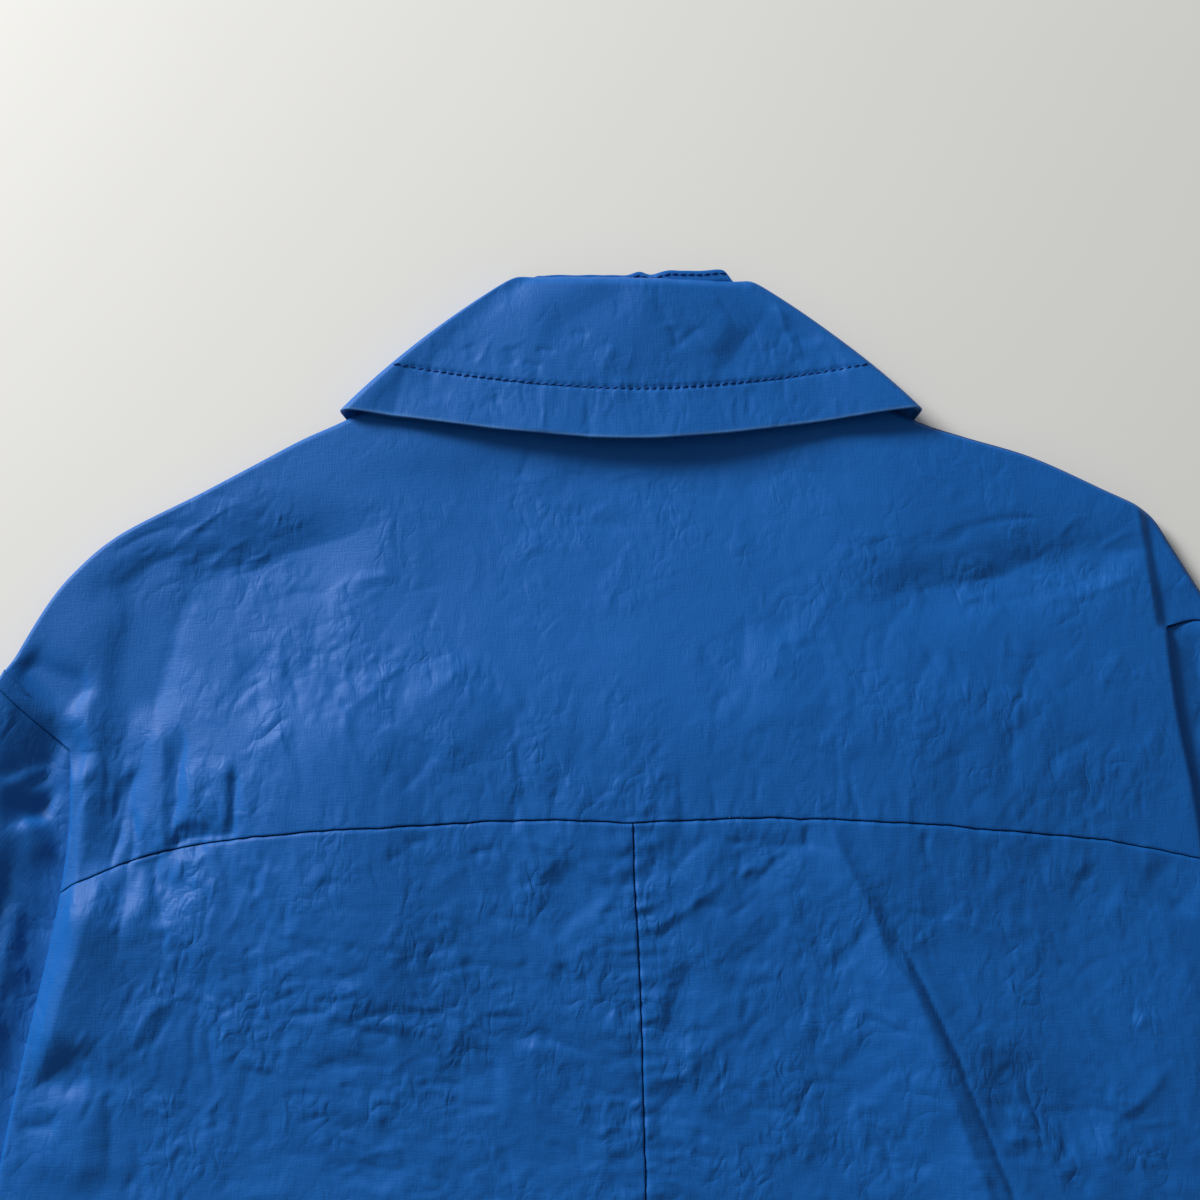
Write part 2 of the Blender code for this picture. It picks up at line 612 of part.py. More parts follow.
def make_front(side, look):
    """A front, laid out as the left one; the right one is mirrored in plan."""
    sign = turned(side)

    def flip(points):
        return [Vector((sign * p.x, p.y)) for p in points]

    armhole = Curve(list(reversed(flip(through(ARMHOLE_FRONT[side])))), shift=-SEAM)
    side_seam = [p for p in reversed(flip(SIDE_LINE[side].pts)) if p.y < ARMHOLE_FRONT[side][-1].y - 4]
    outline = Joined(Curve(side_seam + [armhole.pts[0]]), armhole, SIDE_SHARE)
    width = OVERLAP - armhole.pts[0].x
    side_width = (width - EDGE_STOPS[0]) / width
    shoulder_us = near_fold(width) + [side_width * k / FRONT_STEPS for k in range(1, FRONT_STEPS)]
    us = shoulder_us + [1 - d / width for d in EDGE_STOPS]
    shoulder = Curve(flip(SHOULDER_LINE[side].pts))
    top_points = [shoulder.at(u / side_width) for u in shoulder_us]
    top_points += [neck_front(x, -SEAM - DROP) for x in NECK_STOPS]
    top = Stops(us, top_points)
    corner = side_seam[0]
    hem = Curve([Vector((corner.x + (OVERLAP - corner.x) * k / 8, HEM_Y + HEM_RISE * (1 - k / 8) ** 2))
                 for k in range(9)])
    edge = Curve([Vector((OVERLAP, HEM_Y)), top_points[-1]])
    vs = [SIDE_SHARE * k / SIDE_STEPS for k in range(SIDE_STEPS + 1)]
    vs += [SIDE_SHARE + (1 - SIDE_SHARE) * (1 - t) for t in reversed(HEAD_STOPS)]
    vs += [1 - s for s in reversed(near_fold(850.0))]

    def place(i, j):
        v = vs[min(j, len(vs) - 1)]
        p = coons(hem, top, outline, edge, us[max(i - 1, 0)], v)
        drop = Vector((0.0, 0.0, 0.0))
        if v < SIDE_SHARE - 0.001:
            if i == 0:
                drop.z = DROP
        elif i == 1:
            p = coons(hem, top, outline, edge, us[2] * 0.15, v)
        if j == len(vs):
            if p.x < -NECK_HALF - 0.1:
                drop.z += DROP
            else:
                into_neck = neck_front(p.x, 1.0) - neck_front(p.x)
                drop += Vector((into_neck.x, into_neck.y, 0.0)) * DROP
        world = Vector((sign * p.x, p.y))
        return Vector((world.x + sign * drop.x, world.y + drop.y, front_height(world, side) + drop.z))

    return cloth_grid("front_" + side, len(us) + 1, len(vs) + 1, place, look, face_down=(side == "left"))


def make_sleeve(side, look):
    """A tube lofted from the armhole to the cuff: upper layer from the outer fold to the inner, then back."""
    sign = turned(side)
    outer = Curve(through(SLEEVE_TOP[side]))
    inner = UNDER_LINE[side]
    cuff = Curve(list(cuff_line(side)))
    shown = Curve(through(SEAM_SHOWN[side]), shift=-SEAM * sign)
    head_top = Joined(shown, Curve(through(TUCK[side])), HEAD_SHOWN)
    head_low = Curve(through(ARMHOLE_FRONT[side])[:-1] + [inner.pts[0]], shift=-SEAM * sign)
    near = near_fold(170.0)
    across = near + list(HEAD_STOPS) + [1 - s for s in reversed(near)]
    across_low = near[1:] + list(HEAD_STOPS) + [1 - near[-1]]

    def rise(p):
        return round_up(min(outer.distance(p), inner.distance(p)))

    def top_point(t, r):
        p = coons(head_top, cuff, outer, inner, t, r)
        return Vector((p.x, p.y, FOLD_Z + (sleeve_height(p) - FOLD_Z) * rise(p))) * MM

    def low_point(t, r):
        p = coons(head_low, cuff, outer, inner, t, r)
        return Vector((p.x, p.y, FOLD_Z * (1 - rise(p)))) * MM

    bm = bmesh.new()
    loops = []
    for k in range(SLEEVE_STEPS + 1):
        r = k / SLEEVE_STEPS
        ring = [bm.verts.new(top_point(t, r)) for t in across]
        ring += [bm.verts.new(low_point(t, r)) for t in reversed(across_low)]
        loops.append(ring)
    for a, b in zip(loops, loops[1:]):
        for k in range(len(a)):
            n = (k + 1) % len(a)
            bm.faces.new((a[k], a[n], b[n], b[k]))
    bmesh.ops.recalc_face_normals(bm, faces=bm.faces)
    return add_mesh("sleeve_" + side, bm, look, WALL)


# ---- collar ----
FALL_TURN_Z = 12.5      # the fall's outer height where it turns to the front
FALL_TURN_R = 4.6       # that turn's radius in plan
FALL_ROLL_Z = 7.1       # the fall's upper border, just above the stand
FALL_ROLL_R = 4.0
FALL_ROWS = (0.0, 0.008, 0.027, 0.055, 0.18, 0.36, 0.54, 0.72, 0.88, 1.0)
FALL_EDGE_GAP = 3.0     # air under the fall's edge
WING_STEPS = 5
FALL_STEPS = 16


def fall_back_point(s, v):
    """Plan point of the fall across the back, s from -1 at the left fold to 1 at the right."""
    fold = fall_fold(v)
    half = abs(fold.x) - FALL_TURN_R * 0.8
    side_edge = COLLAR_EDGE_SPAN * 1.12
    level = ROLL_Y + (edge_y(s * side_edge) - ROLL_Y) * v
    lift = fold.y - 1.0 - (ROLL_Y + (edge_y(side_edge) - ROLL_Y) * v)
    return Vector((s * half, level + lift * s ** 4))


def fall_height(s, v):
    crest = COLLAR_CREST_Z * math.sin(math.pi * min(1.0, 0.32 + 0.62 * v)) ** 0.35
    rest = body_height(fall_back_point(s, v)) + GAP + WALL + FALL_EDGE_GAP
    low = smooth((v - 0.35) / 0.65)
    z = max(crest * (1 - low) + rest * low, NECK_Z + 2.6)
    roll = round_up(v * (ROLL_Y - COLLAR_EDGE_Y), FALL_ROLL_R)
    z = FALL_ROLL_Z + (z - FALL_ROLL_Z) * roll
    return z + (FALL_TURN_Z - z) * smooth((abs(s) - 0.8) / 0.2) * roll


def make_fall(look):
    """The collar's fall: front wing, round the left fold, across the back, round the right fold, wing."""
    turn = [math.radians(a) for a in (30, 60, 90, 120, 150)]
    half_count = WING_STEPS + 1 + len(turn)
    columns = 2 * half_count + FALL_STEPS + 1

    def left_half(v):
        """Points from the left wing's front end to the start of the back."""
        fold = fall_fold(v)
        front = wing_front(v)
        start = fold - (fold - front).normalized() * FALL_TURN_R
        pts = [Vector((*front.lerp(start, k / WING_STEPS), 0.0)) for k in range(WING_STEPS + 1)]
        top = fall_back_point(-1.0, v)
        high = fall_height(-1.0, v)
        for a in turn:
            base = start.lerp(top, (1 - math.cos(a)) / 2)
            plan = base + (fold - base) * math.sin(a)
            pts.append(Vector((*plan, high * (1 - math.cos(a)) / 2)))
        return pts

    def place(i, j):
        v = FALL_ROWS[j]
        if i < half_count:
            return left_half(v)[i]
        if i >= columns - half_count:
            p = left_half(v)[columns - 1 - i]
            return Vector((-p.x, p.y, p.z))
        s = 2 * (i - half_count) / FALL_STEPS - 1
        return Vector((*fall_back_point(s, v), fall_height(s, v)))

    return cloth_grid("collar_fall", columns, len(FALL_ROWS), place, look, face_down=True)


STAND_ROWS = (0.0, 0.35, 0.7, 1.0)
STAND_TURN = (45, 90, 135)
STAND_TURN_R = 3.0
STAND_TOP_HALF = 49.0   # the stand's top edge turns to the front here
STAND_TOP_SIDE = Vector((-50.5, 512.0))
STAND_TOP_FRONT = Vector((-3.0, 423.0))
STAND_PEEK = 1.6        # it shows this much more above the roll on the right


def make_stand(look):
    """The collar's stand, from the neck seam to just past the roll, inside the fall."""
    stops = list(NECK_STOPS[:5]) + [-2.0]
    front_count = len(stops)
    back_steps = 2 * (HALF_STEPS - SHOULDER_STEPS)
    half_count = front_count + len(STAND_TURN)
    columns = 2 * half_count + back_steps + 1

    def back_point(s, v):
        low = neck_back(s * NECK_HALF, SEAM + 0.4 * smooth((abs(s) - 0.7) / 0.3))
        peek = STAND_PEEK * smooth((s + 0.1) / 0.5) * (1 - smooth((s - 0.8) / 0.2))
        top_y = TOP_Y - STAND_PEEK + peek - 3.4 * smooth((abs(s) - 0.85) / 0.15)
        return low.lerp(Vector((s * STAND_TOP_HALF, top_y)), v)

    def back_z(s, v):
        return NECK_Z + (0.5 if abs(s) < 0.9 else 0.4) * v

    def front_half(v, right):
        pts = []
        for k, x in enumerate(reversed(stops)):
            low = neck_front(x, SEAM)
            along = k / (front_count - 1)
            plan = low.lerp(STAND_TOP_FRONT.lerp(STAND_TOP_SIDE, along), v)
            rise = 1.5 * smooth((x + 70) / 30) * (1 - smooth(v / 0.7)) if right else 0.0
            pts.append(Vector((plan.x, plan.y, WING_LIFT + rise)))
        foot = pts[-1]
        top = Vector((*back_point(-1.0, v), back_z(-1.0, v)))
        outward = Vector((-0.78, 0.62)).normalized()
        for a in (math.radians(t) for t in STAND_TURN):
            base = foot.lerp(top, (1 - math.cos(a)) / 2)
            shift = outward * STAND_TURN_R * math.sin(a) * (1 - 0.4 * v)
            pts.append(Vector((base.x + shift.x, base.y + shift.y, base.z)))
        return pts

    def place(i, j):
        v = STAND_ROWS[j]
        if i < half_count:
            return front_half(v, False)[i]
        if i >= columns - half_count:
            p = front_half(v, True)[columns - 1 - i]
            return Vector((-p.x, p.y, p.z))
        s = 2 * (i - half_count) / back_steps - 1
        return Vector((*back_point(s, v), back_z(s, v)))

    return cloth_grid("collar_stand", columns, len(STAND_ROWS), place, look)


# ---- fly front ----
FLY_TOP_Y = 285.0
FLY_LOW_Y = -330.0
FLY_HALF_WIDTH = 29.0
BUTTONHOLE_HALF = 12.0
SHANK_R = 1.6
BUTTON_SIDES = 14


def button_heights():
    return [BUTTON_TOP_Y - k * BUTTON_PITCH for k in range(BUTTON_COUNT)]


def make_fly(look):
    """The hidden strip with the buttonholes, as a flat outline with slots."""
    data = bpy.data.curves.new("fly_strip", "CURVE")
    data.dimensions = "2D"
    data.fill_mode = "BOTH"
    data.extrude = WALL / 2 * MM
    slot_half = SHANK_R + 0.6
    boxes = [(0.0, (FLY_TOP_Y + FLY_LOW_Y) / 2, FLY_HALF_WIDTH, (FLY_TOP_Y - FLY_LOW_Y) / 2)]
    boxes += [(0.0, y, BUTTONHOLE_HALF, slot_half) for y in button_heights()]
    for x, y, half_x, half_y in boxes:
        spline = data.splines.new("POLY")
        corners = [(x - half_x, y - half_y), (x + half_x, y - half_y), (x + half_x, y + half_y),
                   (x - half_x, y + half_y)]
        spline.points.add(len(corners) - 1)
        for point, (px, py) in zip(spline.points, corners):
            point.co = (px * MM, py * MM, 0.0, 1.0)
        spline.use_cyclic_u = True
    drawn = bpy.data.objects.new("fly_outline", data)
    collection.objects.link(drawn)
    bpy.context.view_layer.update()
    mesh = bpy.data.meshes.new_from_object(drawn.evaluated_get(bpy.context.evaluated_depsgraph_get()))
    bpy.data.objects.remove(drawn)
    bm = bmesh.new()
    bm.from_mesh(mesh)
    bmesh.ops.remove_doubles(bm, verts=bm.verts, dist=0.00001)
    bmesh.ops.translate(bm, verts=bm.verts, vec=(0.0, 0.0, (FLY_Z + WALL / 2) * MM))
    return add_mesh("fly_strip", bm, look)


def make_button(index, y, look):
    """A turned button with a thread shank that passes through its buttonhole, its face down."""
    back = BUTTON_Z + BUTTON_THICK
    profile = [(0.0, FLY_Z + WALL), (SHANK_R, FLY_Z + WALL), (SHANK_R, back), (BUTTON_R - 1.5, back),
               (BUTTON_R, back - 0.5), (BUTTON_R, BUTTON_Z + 0.6), (BUTTON_R - 0.6, BUTTON_Z),
               (BUTTON_R - 2.4, BUTTON_Z), (BUTTON_R - 3.2, BUTTON_Z + 0.5), (0.0, BUTTON_Z + 0.5)]
    bm = bmesh.new()
    verts = [bm.verts.new((radius * MM, 0.0, z * MM)) for radius, z in profile]
    for a, b in zip(verts, verts[1:]):
        bm.edges.new((a, b))
    button = add_mesh("button_%d" % index, bm, look)
    button.location = (0.0, y * MM, 0.0)
    turn = button.modifiers.new("turn", "SCREW")
    turn.steps = BUTTON_SIDES
    turn.render_steps = BUTTON_SIDES
    turn.use_merge_vertices = True
    turn.merge_threshold = 0.00001
    return button


# ---- the coat ----
for old in list(bpy.data.objects):
    bpy.data.objects.remove(old, do_unlink=True)
collection = bpy.data.collections.new("balmacaan_coat")
bpy.context.scene.collection.children.link(collection)

cloth = material("coat_cloth", BLUE, 0.55)
make_yoke(cloth)
for coat_side in SIDES:
    make_back(coat_side, cloth)
    make_front(coat_side, cloth)
    make_sleeve(coat_side, cloth)
make_fall(cloth)
make_stand(cloth)
make_fly(cloth)
button_look = material("coat_button", NAVY, 0.35)
for number, height in enumerate(button_heights(), start=1):
    make_button(number, height, button_look)
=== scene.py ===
"""Looks of the balmacaan coat that lies face down on a pale floor.

Lengths are millimetres until a mesh is made. A point in plan is a complex number, x + iy: +X is the
wearer's right, +Y runs to the neck, and +Z is up. Each cloth piece is a fine grid on its solid's outer
face, with creases laid on as soft troughs and ridges and its borders turned in.
"""
import math
from collections import namedtuple

import bpy
import numpy as np
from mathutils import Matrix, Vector


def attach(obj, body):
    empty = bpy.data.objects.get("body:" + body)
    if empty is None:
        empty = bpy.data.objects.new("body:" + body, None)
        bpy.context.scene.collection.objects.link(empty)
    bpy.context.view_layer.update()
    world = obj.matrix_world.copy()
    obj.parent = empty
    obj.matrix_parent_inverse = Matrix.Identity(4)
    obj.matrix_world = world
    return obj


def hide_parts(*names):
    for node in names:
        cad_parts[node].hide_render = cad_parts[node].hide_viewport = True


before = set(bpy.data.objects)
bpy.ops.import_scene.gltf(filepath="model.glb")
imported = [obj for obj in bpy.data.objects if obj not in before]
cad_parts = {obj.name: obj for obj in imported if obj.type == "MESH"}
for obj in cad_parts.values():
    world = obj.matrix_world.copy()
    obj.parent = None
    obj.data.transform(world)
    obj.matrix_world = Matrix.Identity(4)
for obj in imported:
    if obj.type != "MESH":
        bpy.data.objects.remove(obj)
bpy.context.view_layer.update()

MM = 0.001
CLEAR = 0.3             # cloth that lies on the floor stays this far above it
LEAST_Z = 0.05          # and its turned edges at least this far

# ---- sizes of the solids, mm ----
WALL = 1.1
GAP = 0.3               # between layers that lie on each other
SEAM = 0.2              # each side of a butted seam
HEM_Y = -516.0          # hem at the centre
HEM_RISE = 8.0          # the hem is this much shorter at the side seams
TOP_Y = 516.0           # top edge of the collar's stand
OVERLAP = 33.0          # each front passes the centre line by this much
BACK_Z = 8.6            # outer face of the back over the fly front,
HEM_Z = 4.8             # at the hem
NECK_Z = 6.0            # and at the neck seam
NECK_BLEND_Y = 405.0    # the back starts to come down to the neck seam here
NECK_BLEND = 60.0       # and does so over this length
SLEEVE_Z = 6.6          # outer face of a sleeve,
TUCKED_Z = 5.0          # of its layer under the body's fold
CUFF_Z = 4.6            # and at the cuff
FOLD_Z = 3.4            # height at which front and back meet on a fold
FOLD_R = 3.0            # radius of a fold, in plan
LIP_Z = TUCKED_Z + GAP + 0.05   # under face of the body's fold over a sleeve
BACK_SPLIT = 0.55       # the back's border lies this much above FOLD_Z
NECK_SPLIT = 0.55       # and this much more near the neck
FRONT_SPLIT = 1.0       # a front's border lies this much below FOLD_Z
BACK_LOW = 3.6          # least outer height of the back,
OVER_SLEEVE_Z = 6.8     # over a tucked sleeve head
OVER_FLY_Z = 7.7        # and over the fly's stack
SLEEVE_HEAD_X = 205.0   # the tucked heads reach in to here
SLEEVE_HEAD_Y = 20.0    # and down to here
FLY_REACH = 62.0        # the stack holds the back up this far from the centre line
FLY_REACH_Y = 380.0     # and up to here
WING_LIFT = WALL + GAP  # fronts that lie on the collar's front wings
WING_REACH = 32.0       # the lift is full this far outside a wing
WING_FADE = 60.0        # and gone this far outside
RIGHT_FRONT_Z = 5.1     # lower face of the right front on the fly's stack
COLLAR_EDGE_Y = 436.3   # lower edge of the collar's fall at the centre back
COLLAR_EDGE_RISE = 15.5     # it lies this much nearer the neck
COLLAR_EDGE_SPAN = 115.0    # at this distance from the centre line
ROLL_Y = 513.5          # the roll, the collar's upper outline
COLLAR_CREST_Z = 10.5   # the fall's crest, lower than its solid's, as COLLAR_CROWN adds to it
NECK_HALF = 81.0        # side neck point from the centre line
NECK_SIDE_Y = 473.0
NECK_BACK_DROP = 5.0    # the back neck seam dips this much at the centre
NECK_FRONT_Y = 396.0
NECK_OVERLAP_DROP = 2.0
NECK_CURVE = 2.2
DROP = 0.6              # the back's border over a sleeve lies this much above LIP_Z
HEAD_SHOWN = 0.17       # share of the sleeve's head that isn't tucked under the body
LIP_SHARE = 8 / 12      # share of the yoke's side border that is the body's fold
SHOULDER_SHARE = 8 / 12  # share of half the yoke's upper border that is the shoulder
SIDE_SHARE = 0.69       # share of a front's side border that is below the armhole

Crease = namedtuple("Crease", "x0 y0 x1 y1 bend left right rise sharp")
Patch = namedtuple("Patch", "x y rx ry angle spread count width slope")
SIDES = ("left", "right")

SHOULDER = {
    "left": [(-NECK_HALF, NECK_SIDE_Y), (-104, 461), (-130, 447), (-150, 437.5), (-172, 425), (-194, 412.5),
             (-228, 394), (-247, 377), (-260, 359), (-277, 326)],
    "right": [(NECK_HALF, NECK_SIDE_Y), (104, 460), (130, 446.5), (150, 439.5), (180, 430), (211, 415),
              (231, 404), (241, 388), (251, 370), (263, 350)],
}
SLEEVE_TOP = {
    "left": [(-277, 326), (-325, 245), (-375, 160), (-424, 73), (-470, -18), (-512, -110), (-532, -160)],
    "right": [(263, 350), (315, 262), (368, 172), (420, 80), (466, -15), (507, -105), (532, -160)],
}
SEAM_SHOWN = {
    "left": [(-277, 326), (-261, 311), (-244, 297)],
    "right": [(263, 350), (250, 355), (236, 352)],
}
SETTLE = {              # line past which the yoke lies down to the sleeve's level: top, foot, width
    "left": ((-277, 326), (-244, 297), 16.0),
    "right": ((231, 404), (236, 352), 6.0),
}
LIP = {
    "left": [(-244, 297), (-242, 266), (-244, 236), (-248, 208), (-254, 174), (-260, 136), (-265, 95),
             (-267, 66)],
    "right": [(236, 352), (238, 315), (243, 276), (246, 236), (250, 200), (255, 160), (261, 115), (266, 66)],
}
TUCK = {
    "left": [(-244, 297), (-224, 270), (-220, 215), (-228, 165), (-257, 112), (-271.5, 64)],
    "right": [(236, 352), (216, 322), (215, 255), (226, 180), (256, 112), (270.5, 64)],
}
ARMHOLE_FRONT = {
    "left": [(-277, 326), (-249, 275), (-239, 215), (-243, 155), (-258, 102), (-269, 64)],
    "right": [(263, 350), (240, 290), (233, 220), (240, 155), (257, 102), (268, 64)],
}
SLEEVE_UNDER = {
    "left": [(-271.5, 64), (-293, 10), (-322, -72), (-358, -150), (-393, -216)],
    "right": [(270.5, 64), (292, 10), (321, -72), (357, -150), (393, -216)],
}
SIDE = {
    "left": [(-267, 66), (-273, -20), (-288, -150), (-307, -320), (-327, -508)],
    "right": [(266, 66), (273, -20), (288, -150), (307, -320), (327, -508)],
}
YOKE_SEAM = {
    "left": [(-244, 236), (-231, 242), (-203, 253), (-160, 259), (-100, 263), (-48, 266), (0, 265)],
    "right": [(246, 250), (205, 258), (157, 262), (115, 265), (55, 267), (0, 265)],
}
CENTRE_SEAM = [(0, 265), (1, 233), (3, 192), (4, 152), (5, 112), (6, 0), (4, -200), (0, HEM_Y)]

